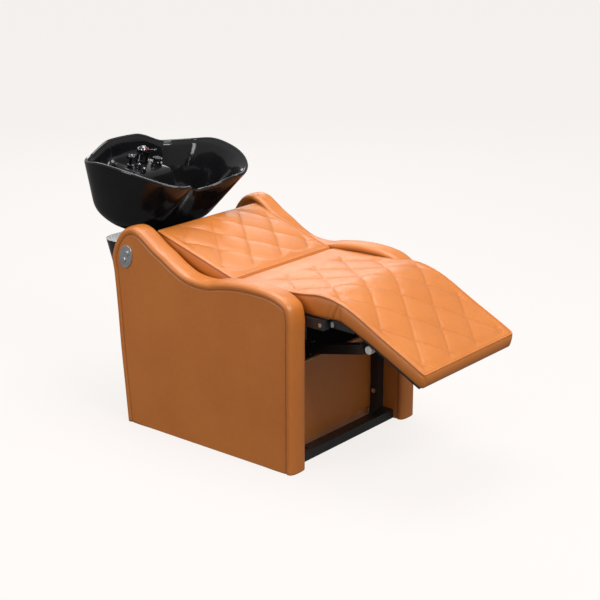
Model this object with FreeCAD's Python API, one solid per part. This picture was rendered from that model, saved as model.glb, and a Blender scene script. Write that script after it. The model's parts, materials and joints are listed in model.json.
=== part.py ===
import FreeCAD, Part
import math
import os

"""Salon shampoo backwash unit: upholstered lounge with a motor leg rest and a tilting basin.

Working axes: X across the unit, +Y from the feet towards the basin, +Z up, floor at z = 0.
y = 0 is the front edge of the side panels.  Every part is shifted as it is written, so that
the origin of the finished part is the centre of the four floor fixing holes.
"""

os.makedirs("parts", exist_ok=True)
V = FreeCAD.Vector
X_AXIS = V(1, 0, 0)

# ---------------------------------------------------------------- driving dimensions
overall_width = 640.0          # across both side panels
panel_thickness = 70.0         # upholstered side panel
panel_length = 704.0           # side panel, measured along the floor
seat_height = 557.0            # top of the seat pad at its front
arm_over_seat = 5.0            # front arm above the seat pad
shoulder_rise = 102.0          # rear shoulder above the front arm
pad_gap = 10.0                 # between a pad and a side panel

tube_wall = 2.0
post_size = 30.0               # posts, seat rails and back rails
floor_bar_depth = 40.0
floor_bar_height = 30.0
floor_bar_setback = 37.0       # front bar behind the panel edge
front_post_setback = 78.0
rear_post_y = panel_length - 89.0
fixing_hole_r = 5.5
fixing_inset = 70.0            # floor fixing hole from the end of its bar

seat_overhang = 70.0           # seat pad in front of the panel edge
seat_depth = 290.0             # panel edge to the fold between seat and back
seat_pad = 73.0                # pad thickness at the front
seat_dip = 17.0                # seat pad lower at the fold
board_thickness = 12.0
board_inset = 15.0             # board edge inside the pad edge
back_end_gap = 74.0            # top of the back pad before the panel's floor end
back_rise = 105.0              # top of the back pad above the fold
back_pad = 67.0                # back pad with its board

leg_angle = 27.4               # leg rest below level, as the unit stands
leg_pivot_y = -78.0
leg_pivot_drop = 85.0          # pivot below the seat top
leg_length = 353.0             # pivot to the foot end
leg_pad_bottom = 40.0          # pad underside above the pivot line
leg_pad = 45.0
leg_tube = 16.0
pivot_r = 5.0
running_clearance = 0.05
plate = 6.0                    # steel ears and arms

lever_x = -100.0               # centre of the push bar and its roller
lever_reach = 86.5             # roller ahead of the pivot, along the leg rest
lever_drop = 71.2              # roller below the pivot line
roller_r = 13.0
roller_width = 20.0
push_angle = 12.0              # push bar rises towards the roller
push_size = 30.0
push_wall = 2.5
push_gap = 2.5                 # push head to roller as the unit stands
push_offset = 4.0              # bar centre above the roller centre
push_head = 6.0
push_head_extra = 8.0          # head above the bar
push_length = 356.0
guide_start = 225.0            # guide from the roller centre, along the bar
guide_length = 255.0
guide_clearance = 0.5

kick_setback = 108.0
kick_height = 288.0
kick_foot = 10.0
skin = 2.5

pedestal_foot_w = 260.0
pedestal_top_w = 380.0
pedestal_foot_y = 96.0         # foot's rear edge beyond the panel's floor end
pedestal_top_y = 238.0         # top's rear edge beyond the panel's floor end
pedestal_height = 552.0
pedestal_wall = 4.0
pedestal_corner = 34.0
pedestal_top_corner = 60.0

basin_y = 146.0                # basin centre beyond the panel's floor end
basin_rise = 83.0              # basin centre above the seat top
basin_tilt = 15.0              # towards the client, as the unit stands
basin_bottom = -45.0           # level basin frame: z = 0 is the basin centre
basin_wall = 13.0
basin_floor = 16.0
basin_top = 225.0              # above the highest point of the rim
basin_base_w = 155.0           # half width of the flat bottom
basin_base_l = 92.0            # half length of the flat bottom
basin_base_y = 12.0
deck_z = 115.0                 # tap deck
deck_half = 92.0
deck_front = 30.0
deck_slab = 14.0
waste_y = -42.0
waste_r = 22.0
tail_r = 16.0
hinge_level_y = -17.0
hinge_drop = 20.0              # hinge axis below the basin plate
hinge_r = 8.0
mixer_ball_rise = 35.0         # lever ball above the deck
mixer_x = 22.0
mixer_y = 125.0
spray_x = 46.0
spray_y = 77.0

# ---------------------------------------------------------------- sizes that follow
half_width = overall_width / 2
inner_half = half_width - panel_thickness
pad_half = inner_half - pad_gap
post_x = inner_half - 2.0 - post_size / 2
rail_inner = post_x - post_size / 2
arm_height = seat_height + arm_over_seat
fold_z = seat_height - seat_dip
seat_bottom = seat_height - seat_pad
rail_z = seat_bottom - post_size / 2
back_end_y = panel_length - back_end_gap
back_slope = math.degrees(math.atan2(back_rise, back_end_y - seat_depth))
back_length = math.hypot(back_rise, back_end_y - seat_depth)
rear_bar_y = panel_length - 34.0
front_bar_y = floor_bar_setback + floor_bar_depth / 2
front_post_y = front_post_setback + post_size / 2
origin = V(0, (front_bar_y + rear_bar_y) / 2, 0)
leg_pivot = V(0, leg_pivot_y, seat_height - leg_pivot_drop)
seat_front = -seat_overhang
rail_front = leg_pivot_y + 20.0
seat_rail_end = seat_depth + 15.0
basin_centre = V(0, panel_length + basin_y, seat_height + basin_rise)
basin_plate_z = basin_bottom - 9.0
deck_hole_r = 12.0


# ---------------------------------------------------------------- helpers
def save(name, *solids):
    """Write one node, as one solid or as a group of separate solids."""
    shape = solids[0] if len(solids) == 1 else Part.makeCompound(list(solids))
    shape = shape.copy()
    shape.translate(origin * -1)
    shape.exportStep("parts/" + name + ".step")
    print(name, len(shape.Solids), shape.isValid(), round(shape.Volume / 1000, 1))


def box(x0, x1, y0, y1, z0, z1):
    return Part.makeBox(x1 - x0, y1 - y0, z1 - z0, V(x0, y0, z0))


def rod(radius, start, end):
    axis = end - start
    return Part.makeCylinder(radius, axis.Length, start, axis)


def bar(start, end, width, height, wall=tube_wall):
    """Rectangular tube between two points; wall = 0 gives a solid bar."""
    along = (end - start).normalize()
    side = V(0, 1, 0) if abs(along.x) > 0.5 else X_AXIS
    turn = FreeCAD.Rotation(side, along.cross(side), along, "ZXY")
    length = (end - start).Length
    shape = Part.makeBox(width, height, length, V(-width / 2, -height / 2, 0))
    if wall > 0:
        core = Part.makeBox(
            width - 2 * wall, height - 2 * wall, length, V(wall - width / 2, wall - height / 2, 0)
        )
        shape = shape.cut(core)
    shape.Placement = FreeCAD.Placement(start, turn)
    return shape


def prism(outline, x0, x1):
    """Extrude a closed outline of (y, z) points along X."""
    points = [V(x0, y, z) for y, z in outline]
    face = Part.Face(Part.makePolygon(points + points[:1]))
    return face.extrude(V(x1 - x0, 0, 0))


def both_sides(shape):
    return [shape, shape.mirror(V(0, 0, 0), X_AXIS)]


def softened(shape, radius, chosen):
    """Round the chosen edges."""
    edges = [edge for edge in shape.Edges if chosen(edge)]
    return shape.makeFillet(radius, edges)


def bolt(head_r, head_h, shank_r, start, end):
    """Bolt from the top of its head at start to the tip of its shank at end."""
    along = (end - start).normalize()
    seat = start + along * head_h
    head = rod(head_r, start, seat)
    return head.fuse(rod(shank_r, seat, end)).removeSplitter()


def on_back(shape):
    """Move a shape from back axes (y along the back pad, z square to it) to the unit."""
    shape = shape.copy()
    shape.rotate(V(0, 0, 0), X_AXIS, back_slope)
    shape.translate(V(0, seat_depth, fold_z))
    return shape


def on_leg(shape):
    """Move a shape from level leg axes (origin on the pivot, feet along -Y) to the unit."""
    shape = shape.copy()
    shape.rotate(V(0, 0, 0), X_AXIS, leg_angle)
    shape.translate(leg_pivot)
    return shape


def on_basin(shape):
    """Move a shape from level basin axes to the tilted basin."""
    shape = shape.copy()
    shape.rotate(V(0, 0, 0), X_AXIS, basin_tilt)
    shape.translate(basin_centre)
    return shape


def basin_point(y, z):
    """Place a point of the level basin axes in the unit."""
    turn = FreeCAD.Rotation(X_AXIS, basin_tilt)
    return turn.multVec(V(0, y, z)) + basin_centre


# ---------------------------------------------------------------- floor frame
def floor_frame():
    holes = [
        rod(fixing_hole_r, V(x, y, -1), V(x, y, floor_bar_height + 1))
        for x in (fixing_inset - inner_half, inner_half - fixing_inset)
        for y in (front_bar_y, rear_bar_y)
    ]
    holes = Part.makeCompound(holes)
    start = V(post_x, front_bar_y + floor_bar_depth / 2, post_size / 2)
    end = V(post_x, rear_bar_y - floor_bar_depth / 2, post_size / 2)
    tubes = both_sides(bar(start, end, post_size, post_size))
    for y in (front_bar_y, rear_bar_y):
        z = floor_bar_height / 2
        ends = V(0.5 - inner_half, y, z), V(inner_half - 0.5, y, z)
        tubes.append(bar(*ends, floor_bar_depth, floor_bar_height).cut(holes))
    save("frame_floor_tubes", *tubes)


def bolt_places():
    """Side panel bolts: (y, z) on the posts of one side."""
    return [
        (front_post_y, 93.0),
        (front_post_y, seat_bottom - 90.0),
        (rear_post_y, 93.0),
        (rear_post_y, seat_bottom - 90.0),
    ]


def back_rail_shape(wall=tube_wall):
    depth = back_pad + post_size / 2
    start = V(post_x, 20.0, -depth)
    end = V(post_x, back_length - 12.0, -depth)
    rail = on_back(bar(start, end, post_size, post_size, wall))
    front = box(0, half_width, -500, seat_rail_end, 0, 2 * seat_height)
    return rail.cut(front)


def posts_and_rails():
    bores = [
        rod(4.2, V(rail_inner - 5, y, z), V(inner_half + 5, y, z)) for y, z in bolt_places()
    ]
    bores = Part.makeCompound(bores)
    foot = V(post_x, front_post_y, floor_bar_height)
    front = bar(foot, V(post_x, front_post_y, seat_bottom - post_size), post_size, post_size)
    posts = both_sides(front.cut(bores))
    top = seat_height + back_rise * 0.4
    foot = V(post_x, rear_post_y, floor_bar_height)
    rear = bar(foot, V(post_x, rear_post_y, top), post_size, post_size)
    above = on_back(box(0, half_width, 0, 2 * back_length, -back_pad - post_size, 3 * back_pad))
    save("frame_posts", *posts, *both_sides(rear.cut(above).cut(bores)))
    rail = bar(V(post_x, rail_front, rail_z), V(post_x, seat_rail_end, rail_z), post_size, post_size)
    hole = rod(4.2, V(rail_inner - 1, leg_pivot_y + 30, rail_z), V(inner_half, leg_pivot_y + 30, rail_z))
    save("frame_side_rails", *both_sides(rail.cut(hole)), *both_sides(back_rail_shape()))
    cap = box(rail_inner, rail_inner + post_size, rail_front - 3, rail_front, rail_z - 15, rail_z + 15)
    save("rail_end_caps", *both_sides(cap))
    cross = []
    for y in crossbar_places():
        cross.append(bar(V(-rail_inner, y, rail_z), V(rail_inner, y, rail_z), post_size, post_size))
    depth = back_pad + post_size / 2
    ends = V(-rail_inner, back_length - 40, -depth), V(rail_inner, back_length - 40, -depth)
    cross.append(on_back(bar(*ends, post_size, post_size)))
    save("frame_crossbars", *cross)


def crossbar_places():
    return [leg_pivot_y + 68.0, 140.0, seat_depth - 10.0]


# ---------------------------------------------------------------- side panels
def panel_outline(inset=0.0):
    """Closed wire of the side panel in the plane x = 0."""
    length = panel_length
    top = arm_height
    rise = shoulder_rise
    points = [
        (0.0, top - 82), (length * 0.017, top - 36), (length * 0.064, top - 13),
        (length * 0.138, top), (length * 0.284, top + 3), (length * 0.412, top - 8),
        (length * 0.483, top - 19), (length * 0.593, top - 15), (length * 0.668, top + rise * 0.06),
        (length * 0.736, top + rise * 0.33), (length * 0.79, top + rise * 0.53),
        (length * 0.844, top + rise * 0.785), (length * 0.884, top + rise * 0.94),
        (length * 0.926, top + rise), (length * 0.977, top + rise * 0.89),
        (length * 1.017, top + rise * 0.64), (length * 1.048, top + rise * 0.27),
        (length * 1.065, top - 14), (length * 1.057, top - 57), (length * 1.043, top * 0.69),
        (length * 1.031, top * 0.46), (length, 0.0),
    ]
    line = []
    for index, (y, z) in enumerate(points):
        before = points[max(index - 1, 0)]
        after = points[min(index + 1, len(points) - 1)]
        run = math.hypot(after[0] - before[0], after[1] - before[1])
        in_y = (after[1] - before[1]) / run * inset
        in_z = (before[0] - after[0]) / run * inset
        line.append(V(0, y + in_y, z + in_z))
    line[0] = V(0, inset, points[0][1])
    line[-1] = V(0, length - inset, inset)
    crest = Part.BSplineCurve()
    crest.interpolate(line)
    sides = Part.makePolygon([line[-1], V(0, inset, inset), line[0]])
    return Part.Wire([crest.toShape()] + sides.Edges)


def side_panels():
    cover_wall = 6.0
    edge_foam = 14.0
    board_depth = 9.0
    rib = 40.0
    reach = 3 * seat_height
    bores = [rod(4.2, V(rail_inner, y, z), V(inner_half + 14, y, z)) for y, z in bolt_places()]
    bores = Part.makeCompound(bores)
    full = Part.Face(panel_outline()).extrude(V(panel_thickness, 0, 0))
    full.translate(V(inner_half, 0, 0))
    core = Part.Face(panel_outline(edge_foam)).extrude(V(panel_thickness - 2 * cover_wall, 0, 0))
    core.translate(V(inner_half + cover_wall, 0, 0))
    foot = box(
        inner_half + cover_wall, half_width - cover_wall, edge_foam, panel_length - edge_foam, 4, rib
    )
    core = core.fuse(foot).removeSplitter()
    hollow = box(
        inner_half + cover_wall + board_depth, half_width - cover_wall - board_depth,
        edge_foam + rib, panel_length - edge_foam - rib, 0, arm_height - 2 * rib,
    )
    pocket = core.fuse(
        box(inner_half + cover_wall, half_width - cover_wall, edge_foam,
            panel_length - edge_foam, -reach, rib)
    )
    cover = full.cut(pocket).cut(bores)
    core = core.cut(hollow).cut(bores)
    housing = switch_housing_shape()
    save("side_core_left", core)
    save("side_cover_left", cover)
    near_core, near_cover = [both_sides(shape)[1] for shape in (core, cover)]
    save("side_core_right", near_core.cut(housing))
    save("side_cover_right", near_cover.cut(housing))


# ---------------------------------------------------------------- control switches
button_r = 8.8
button_travel = 2.0
button_pitch = 26.5
switch_tilt = 60.0
switch_y = panel_length - 26.0
switch_z = arm_height + 1.5
bezel = 4.0


def button_places():
    """Centres of the raise and lower buttons on the outer face of the panel."""
    dy = math.cos(math.radians(switch_tilt)) * button_pitch / 2
    dz = math.sin(math.radians(switch_tilt)) * button_pitch / 2
    return V(-half_width, switch_y - dy, switch_z + dz), V(-half_width, switch_y + dy, switch_z - dz)


def switch_housing_shape():
    depth = V(24, 0, 0)
    solids = [rod(button_r + 3.2, place, place + depth) for place in button_places()]
    middle = V(-half_width, switch_y, switch_z)
    web = Part.makeBox(24, 14, button_pitch, V(0, -7, -button_pitch / 2))
    web.rotate(V(0, 0, 0), X_AXIS, 90 - switch_tilt)
    web.translate(middle)
    return solids[0].fuse([solids[1], web]).removeSplitter()


def switches():
    bores = [
        rod(button_r + 0.2, place + V(-20, 0, 0), place + V(14, 0, 0)) for place in button_places()
    ]
    bores = Part.makeCompound(bores)
    long_r = 40.0
    short_r = 27.5
    oval = Part.Ellipse(V(0, 0, 0), long_r, short_r).toShape()
    plate_shape = Part.Face(Part.Wire(oval)).extrude(V(0, 0, bezel))
    plate_shape.rotate(V(0, 0, 0), V(0, 1, 0), -90)
    plate_shape.rotate(V(0, 0, 0), X_AXIS, 18.0)
    plate_shape.translate(V(-half_width, switch_y, switch_z))
    save("switch_plate", softened(plate_shape, 1.5, lambda e: e.CenterOfMass.x < -half_width - 3).cut(bores))
    save("switch_housing", switch_housing_shape().cut(bores))
    for name, place in zip(("button_up", "button_down"), button_places()):
        cap = rod(button_r, place + V(-bezel - 3, 0, 0), place + V(11, 0, 0))
        cap = softened(cap, 1.5, lambda e: e.CenterOfMass.x < -half_width - bezel - 2)
        save(name, cap)


# ---------------------------------------------------------------- seat, back and kick panel
def pads():
    edge = 12.0
    fold = math.radians(back_slope)
    foot_y = seat_depth - 0.5 + math.tan(fold) * (fold_z - seat_bottom)
    outline = [
        (seat_front, seat_bottom), (seat_front, seat_height - 6), (seat_front + 26, seat_height),
        (40.0, seat_height - 12), (seat_depth - 0.5, fold_z), (foot_y, seat_bottom),
    ]
    pad = prism(outline, -pad_half, pad_half)
    board_half = pad_half - board_inset
    board = box(-board_half, board_half, seat_front + 8, foot_y - board_inset,
                seat_bottom, seat_bottom + board_thickness)
    boards = [board]
    save("seat_cushion", pad.cut(board))
    pad = box(-pad_half, pad_half, 0, back_length, -back_pad, 0)
    pad = softened(pad, edge, lambda e: e.CenterOfMass.z > -1 and e.CenterOfMass.y > 1)
    board = box(-board_half, board_half, board_inset, back_length - board_inset,
                -back_pad, board_thickness - back_pad)
    boards.append(on_back(board))
    save("seat_and_back_boards", *boards)
    save("back_cushion", on_back(pad.cut(board)))


def kick_panel():
    foot = floor_bar_height + 1
    half = inner_half - 1
    low_half = rail_inner - 1
    front = kick_setback + skin
    rear = front + board_thickness
    board = box(-half, half, front, rear, foot, kick_height - skin)
    board = board.fuse(box(-low_half, low_half, front, rear, kick_foot, foot)).removeSplitter()
    wrap = box(-half, half, kick_setback, rear, foot, kick_height)
    wrap = wrap.fuse(box(-low_half, low_half, kick_setback, rear, kick_foot, foot)).removeSplitter()
    save("kick_panel_board", board)
    save("kick_panel_cover", wrap.cut(board))


# ---------------------------------------------------------------- leg rest
def hinge():
    ear_x0 = rail_inner - plate
    reach = leg_pivot_y + 50
    ear = box(ear_x0, rail_inner, leg_pivot_y, reach, leg_pivot.z - 12, leg_pivot.z + 12)
    tip = rod(12.0, V(ear_x0, leg_pivot_y, leg_pivot.z), V(rail_inner, leg_pivot_y, leg_pivot.z))
    ear = ear.fuse(tip).removeSplitter()
    bolt_y = leg_pivot_y + 30
    shank = rod(4.2, V(ear_x0 - 1, bolt_y, rail_z), V(rail_inner + 1, bolt_y, rail_z))
    pin = rod(pivot_r, V(ear_x0 - 1, leg_pivot_y, leg_pivot.z), V(rail_inner + 1, leg_pivot_y, leg_pivot.z))
    save("hinge_ears", *both_sides(ear.cut(shank).cut(pin)))
    outer = rail_inner + post_size
    fix = bolt(6.5, 1.6, 4.2, V(outer + 1.6, bolt_y, rail_z), V(ear_x0 - 8, bolt_y, rail_z))
    bolts = both_sides(fix)
    for y, z in bolt_places():
        bolts += both_sides(bolt(8.0, 5.0, 4.0, V(rail_inner - 5, y, z), V(inner_half + 12, y, z)))
    save("frame_bolts", *bolts)
    arm_out = rail_inner + 1 + plate
    pivot = bolt(8.0, 5.0, pivot_r, V(arm_out + 5.5, leg_pivot_y, leg_pivot.z),
                 V(ear_x0 - 7, leg_pivot_y, leg_pivot.z))
    save("leg_pivot_bolts", *both_sides(pivot))


def leg_rest():
    arm_x0 = rail_inner + 1
    arm_x1 = arm_x0 + plate
    low = leg_pad_bottom - leg_tube
    mid = leg_pad_bottom - leg_tube / 2
    rail_x = arm_x0 - leg_tube / 2
    end = leg_length - 24
    arm = prism([(0, -12), (-75, low), (-75, leg_pad_bottom - 2), (-30, leg_pad_bottom - 2), (9, 8)],
                arm_x0, arm_x1)
    arm = arm.fuse(rod(12.0, V(arm_x0, 0, 0), V(arm_x1, 0, 0))).removeSplitter()
    arm = arm.cut(rod(pivot_r + running_clearance, V(arm_x0 - 1, 0, 0), V(arm_x1 + 1, 0, 0)))
    save("leg_rest_arms", *both_sides(on_leg(arm)))
    rail = bar(V(rail_x, -40, mid), V(rail_x, -end, mid), leg_tube, leg_tube)
    tubes = both_sides(on_leg(rail))
    inner = rail_x - leg_tube / 2
    for y in (-70.0, 10 - end):
        tubes.append(on_leg(bar(V(-inner, y, mid), V(inner, y, mid), leg_tube, leg_tube)))
    save("leg_rest_frame", *tubes)
    edge = 12.0
    top = leg_pad_bottom + leg_pad
    pad = prism([(-14, leg_pad_bottom), (2, top - 1), (-leg_length + 18, top - 3),
                 (-leg_length, top - 20), (-leg_length + 3, leg_pad_bottom)], -pad_half, pad_half)
    pad = softened(pad, edge, lambda e: abs(e.CenterOfMass.x) > pad_half - 1 and e.CenterOfMass.z > top - 3)
    half = pad_half - board_inset
    board = box(-half, half, board_inset - leg_length, -28, leg_pad_bottom, leg_pad_bottom + 10)
    save("leg_rest_board", on_leg(board))
    save("leg_rest_cushion", on_leg(pad.cut(board)))
    blade_x = lever_x + roller_width / 2 + 2
    reach = lever_reach
    drop = -lever_drop
    blade = prism([(-52, low), (10 - reach, drop), (-10 - reach, drop), (-92, low)], blade_x, blade_x + 8)
    blade = blade.fuse(rod(11.0, V(blade_x, -reach, drop), V(blade_x + 8, -reach, drop))).removeSplitter()
    hole = rod(pivot_r, V(blade_x - 1, -reach, drop), V(blade_x + 9, -reach, drop))
    save("lever_blade", on_leg(blade.cut(hole)))
    pin = bolt(9.0, 5.0, pivot_r, V(blade_x + 13, -reach, drop), V(lever_x - 4, -reach, drop))
    save("roller_pin", on_leg(pin))
    roller = rod(roller_r, V(lever_x - roller_width / 2, -reach, drop), V(lever_x + roller_width / 2, -reach, drop))
    roller = softened(roller, 2.5, lambda e: e.CenterOfMass.x < lever_x - roller_width / 2 + 0.1)
    bore = rod(pivot_r, V(lever_x - 4, -reach, drop), V(lever_x + 20, -reach, drop))
    save("nylon_roller", on_leg(roller.cut(bore)))


# ---------------------------------------------------------------- push actuator
def push_axes():
    """Start point on the bar's centre line beside the roller, and the direction to the rear."""
    leg = FreeCAD.Rotation(X_AXIS, leg_angle)
    roller = leg.multVec(V(0, -lever_reach, -lever_drop)) + leg_pivot + V(lever_x, 0, 0)
    slope = math.radians(push_angle)
    back = V(0, math.cos(slope), -math.sin(slope))
    up = V(0, math.sin(slope), math.cos(slope))
    return roller + up * push_offset, back, up


def actuator():
    start, back, up = push_axes()
    face = roller_r + push_gap
    head_end = start + back * (face + push_head)
    head = bar(start + back * face + up * (push_head_extra / 2), head_end + up * (push_head_extra / 2),
               push_size, push_size + push_head_extra, 0)
    tube_end = head_end + back * push_length
    tube = bar(head_end, tube_end, push_size, push_size, push_wall)
    save("push_bar", head.fuse(tube).removeSplitter())
    screw_r = 6.0
    nut_length = 24.0
    inner = push_size - 2 * push_wall
    nut = bar(tube_end - back * nut_length, tube_end, inner, inner, 0)
    nut = nut.cut(rod(screw_r + 0.3, tube_end - back * (nut_length + 1), tube_end + back))
    save("drive_nut", nut)
    guide_wall = 3.0
    guide_size = push_size + 2 * (guide_clearance + guide_wall)
    guide_from = start + back * guide_start
    guide_to = guide_from + back * guide_length
    save("guide_tube", bar(guide_from, guide_to, guide_size, guide_size, guide_wall))
    screw = rod(screw_r, guide_to - back * (guide_length - 30), guide_to + back * 20)
    save("lead_screw", screw)
    gearbox = bar(guide_to, guide_to + back * 80, 62, 74, 0)
    gearbox = gearbox.cut(rod(screw_r, guide_to - back, guide_to + back * 20))
    save("actuator_gearbox", softened(gearbox, 6.0, lambda e: abs(e.CenterOfMass.x - lever_x) > 30.9))
    motor_top = guide_to + back * 42 - up * 37
    motor = rod(28.0, motor_top, motor_top - up * 105)
    save("actuator_motor", softened(motor, 4.0, lambda e: e.CenterOfMass.z < motor_top.z - 90))
    envelope = bar(guide_from, guide_to, guide_size, guide_size, 0)
    hangers = []
    for y in crossbar_places()[1:]:
        strap = box(lever_x - 20, lever_x + 20, y - 3, y + 3, (y - start.y) / back.y * back.z + start.z,
                    rail_z - post_size / 2)
        hangers.append(strap.cut(envelope))
    save("actuator_hangers", *hangers)
    edge = -rail_inner
    box_y = rear_post_y - 55
    case = box(edge, edge + 62, box_y, box_y + 130, 110, 250)
    save("control_box", softened(case, 5.0, lambda e: abs(e.CenterOfMass.x - edge - 62) < 1))
    inlet = box(edge + 16, edge + 46, box_y + 130, box_y + 140, 125, 150)
    save("mains_inlet", inlet)


# ---------------------------------------------------------------- pedestal
def rounded_frame(half, y0, y1, z, radius):
    """Closed wire: rectangle with rounded corners in a level plane."""
    arc = radius * (1 - math.sqrt(0.5))
    edges = []
    corners = [(half, y0, -1, 1), (half, y1, -1, -1), (-half, y1, 1, -1), (-half, y0, 1, 1)]
    ends = []
    for i, (x, y, sx, sy) in enumerate(corners):
        first = V(x + sx * radius, y, z) if i % 2 == 0 else V(x, y + sy * radius, z)
        last = V(x, y + sy * radius, z) if i % 2 == 0 else V(x + sx * radius, y, z)
        middle = V(x + sx * arc, y + sy * arc, z)
        ends.append((first, last))
        edges.append(Part.Arc(first, middle, last).toShape())
    joined = []
    for i in range(4):
        joined.append(edges[i])
        joined.append(Part.makeLine(ends[i][1], ends[(i + 1) % 4][0]))
    return Part.Wire(joined)


def pedestal():
    front = panel_length + 2
    foot_rear = panel_length + pedestal_foot_y
    top_rear = panel_length + pedestal_top_y
    foot_z = 8.0
    wall = pedestal_wall
    outer = Part.makeLoft([
        rounded_frame(pedestal_foot_w / 2, front, foot_rear, foot_z, pedestal_corner),
        rounded_frame(pedestal_top_w / 2, front, top_rear, pedestal_height, pedestal_top_corner),
    ], True, True)
    inner = Part.makeLoft([
        rounded_frame(pedestal_foot_w / 2 - wall, front + wall, foot_rear - wall, foot_z - 1,
                      pedestal_corner - wall),
        rounded_frame(pedestal_top_w / 2 - wall, front + wall, top_rear - wall,
                      pedestal_height - wall, pedestal_top_corner - wall),
    ], True, True)
    axis = hinge_axis()
    window = box(-hinge_window_half, hinge_window_half, axis.y - 53, axis.y + 43,
                 pedestal_height - wall - 1, pedestal_height + 1)
    save("pedestal_cover", outer.cut(inner).cut(window))
    base = box(-pedestal_foot_w / 2 + 10, pedestal_foot_w / 2 - 10, front + 14, foot_rear - 8, 0, 6)
    link = box(70, 100, rear_bar_y + floor_bar_depth / 2, front + 20, 0, 6)
    save("pedestal_base_plate", base.fuse(both_sides(link)).removeSplitter())
    top_z = pedestal_height - wall
    deck = box(-pedestal_top_w / 2 + 40, pedestal_top_w / 2 - 40, front + 20, top_rear - 30, top_z - 8, top_z)
    pieces = [deck.cut(tail_opening())]
    for x in (-80.0, 80.0):
        post = bar(V(x, front + 48, 6), V(x, front + 48, top_z - 8), 40, 40)
        strut = bar(V(x, front + 60, 270), V(x, top_rear - 50, top_z - 4), 30, 20)
        lid = box(-half_width, half_width, 0, 3 * panel_length, top_z - 8, 2 * pedestal_height)
        pieces += [post, strut.cut(lid).cut(bar(V(x, front + 48, 6), V(x, front + 48, top_z), 40, 40, 0))]
    save("pedestal_frame", *pieces)


hinge_base_half = 108.0
hinge_window_half = 130.0


def hinge_axis():
    """Point on the basin's tilt axis at x = 0."""
    return basin_point(hinge_level_y, basin_plate_z - hinge_drop)


def tail_opening():
    axis = hinge_axis()
    return rod(30.0, V(0, axis.y - 16, 0), V(0, axis.y - 16, 2 * seat_height))


def basin_hinge():
    axis = hinge_axis()
    base_z = pedestal_height - pedestal_wall
    foot = box(-hinge_base_half, hinge_base_half, axis.y - 50, axis.y + 40, base_z, base_z + 6)
    foot = foot.cut(tail_opening())
    for side in (-1, 1):
        inner = side * 98.0
        outer = side * 108.0
        low, high = min(inner, outer), max(inner, outer)
        ear = box(low, high, axis.y - 20, axis.y + 20, base_z, axis.z)
        ear = ear.fuse(rod(15.0, V(low, axis.y, axis.z), V(high, axis.y, axis.z)))
        foot = foot.fuse(ear)
    above = box(-half_width, half_width, axis.y - 60, axis.y + 60, base_z, 2 * seat_height)
    foot = foot.common(above)
    foot = foot.cut(rod(hinge_r, V(-150, axis.y, axis.z), V(150, axis.y, axis.z)))
    save("basin_hinge_base", foot.removeSplitter())
    pin = bolt(13.0, 6.0, hinge_r, V(126, axis.y, axis.z), V(94, axis.y, axis.z))
    save("basin_hinge_pins", *both_sides(pin))


# ---------------------------------------------------------------- basin
RIM = [(0, -208), (66, -216), (138, -228), (198, -190), (242, -120), (267, -38), (276, 48),
       (261, 126), (196, 194), (94, 214), (0, 222)]


def basin_outline(level, inset):
    """Closed level curve of the basin; level runs from 0 at the bottom to 1 at the rim."""
    turn_height = 0.22
    share = min(level, turn_height) / turn_height
    bulge = math.sqrt(1 - (1 - share) ** 2)
    z = basin_bottom + level * (190.0 - basin_bottom)
    half = []
    for index, (rim_x, rim_y) in enumerate(RIM):
        angle = math.pi * index / (len(RIM) - 1)
        base_x = basin_base_w * math.sin(angle)
        base_y = basin_base_y - basin_base_l * math.cos(angle)
        fast = 0.17 + 0.27 * (1 - math.cos(angle)) / 2 + 0.08 * math.sin(angle)
        grow = fast * bulge + (1 - fast) * level
        x = base_x + (rim_x - base_x) * grow
        y = base_y + (rim_y - base_y) * grow
        reach = math.hypot(x, y - basin_base_y)
        scale = 1 - inset / reach
        half.append(V(x * scale, basin_base_y + (y - basin_base_y) * scale, z))
    other = [V(-p.x, p.y, p.z) for p in reversed(half[1:-1])]
    curve = Part.BSplineCurve()
    curve.interpolate(half + other, PeriodicFlag=True)
    return Part.Wire(curve.toShape())


def basin_shell():
    top = (basin_top - basin_bottom) / (190.0 - basin_bottom)
    levels = [0.0, 0.012, 0.05, 0.11, 0.22, 0.45, 0.7, top]
    outer = Part.makeLoft([basin_outline(level, 0) for level in levels], True, True)
    inner = Part.makeLoft([basin_outline(level, basin_wall) for level in levels], True, True)
    inner.translate(V(0, 0, basin_floor))
    return outer, inner


def deck_block(inset):
    """Tap deck inside the basin, with a sloping front; inset shrinks it for the pocket below."""
    half = deck_half - inset
    front = deck_front + inset
    top = deck_z - inset
    rear = 400 if inset == 0 else 165.0
    low = basin_bottom - 40
    return prism([(front, top), (rear, top), (rear, low), (front - 42, low)], -half, half)


def rim_cutter():
    """Everything above the rim: a side profile, a neck notch and the raised rear lobe."""
    profile = [(-330, 188), (-230, 188), (-187, 198), (-120, 205), (-38, 202), (44, 189),
               (117, 158), (160, 142), (190, 136), (330, 134)]
    curve = Part.BSplineCurve()
    curve.interpolate([V(-400, y, z) for y, z in profile])
    lid = Part.makePolygon([V(-400, 330, 134), V(-400, 330, 400), V(-400, -330, 400), V(-400, -330, 188)])
    above = Part.Face(Part.Wire([curve.toShape()] + lid.Edges)).extrude(V(800, 0, 0))
    lobe = [V(-190, 135, 100), V(-190, 135, 136), V(-74, 135, 171), V(74, 135, 171), V(190, 135, 136),
            V(190, 135, 100)]
    lobe = Part.Face(Part.makePolygon(lobe + lobe[:1])).extrude(V(0, 250, 0))
    notch_r = 140.0
    notch = rod(notch_r, V(0, -400, 145 + notch_r), V(0, -120, 145 + notch_r))
    return above.cut(lobe).fuse(notch)


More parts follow.
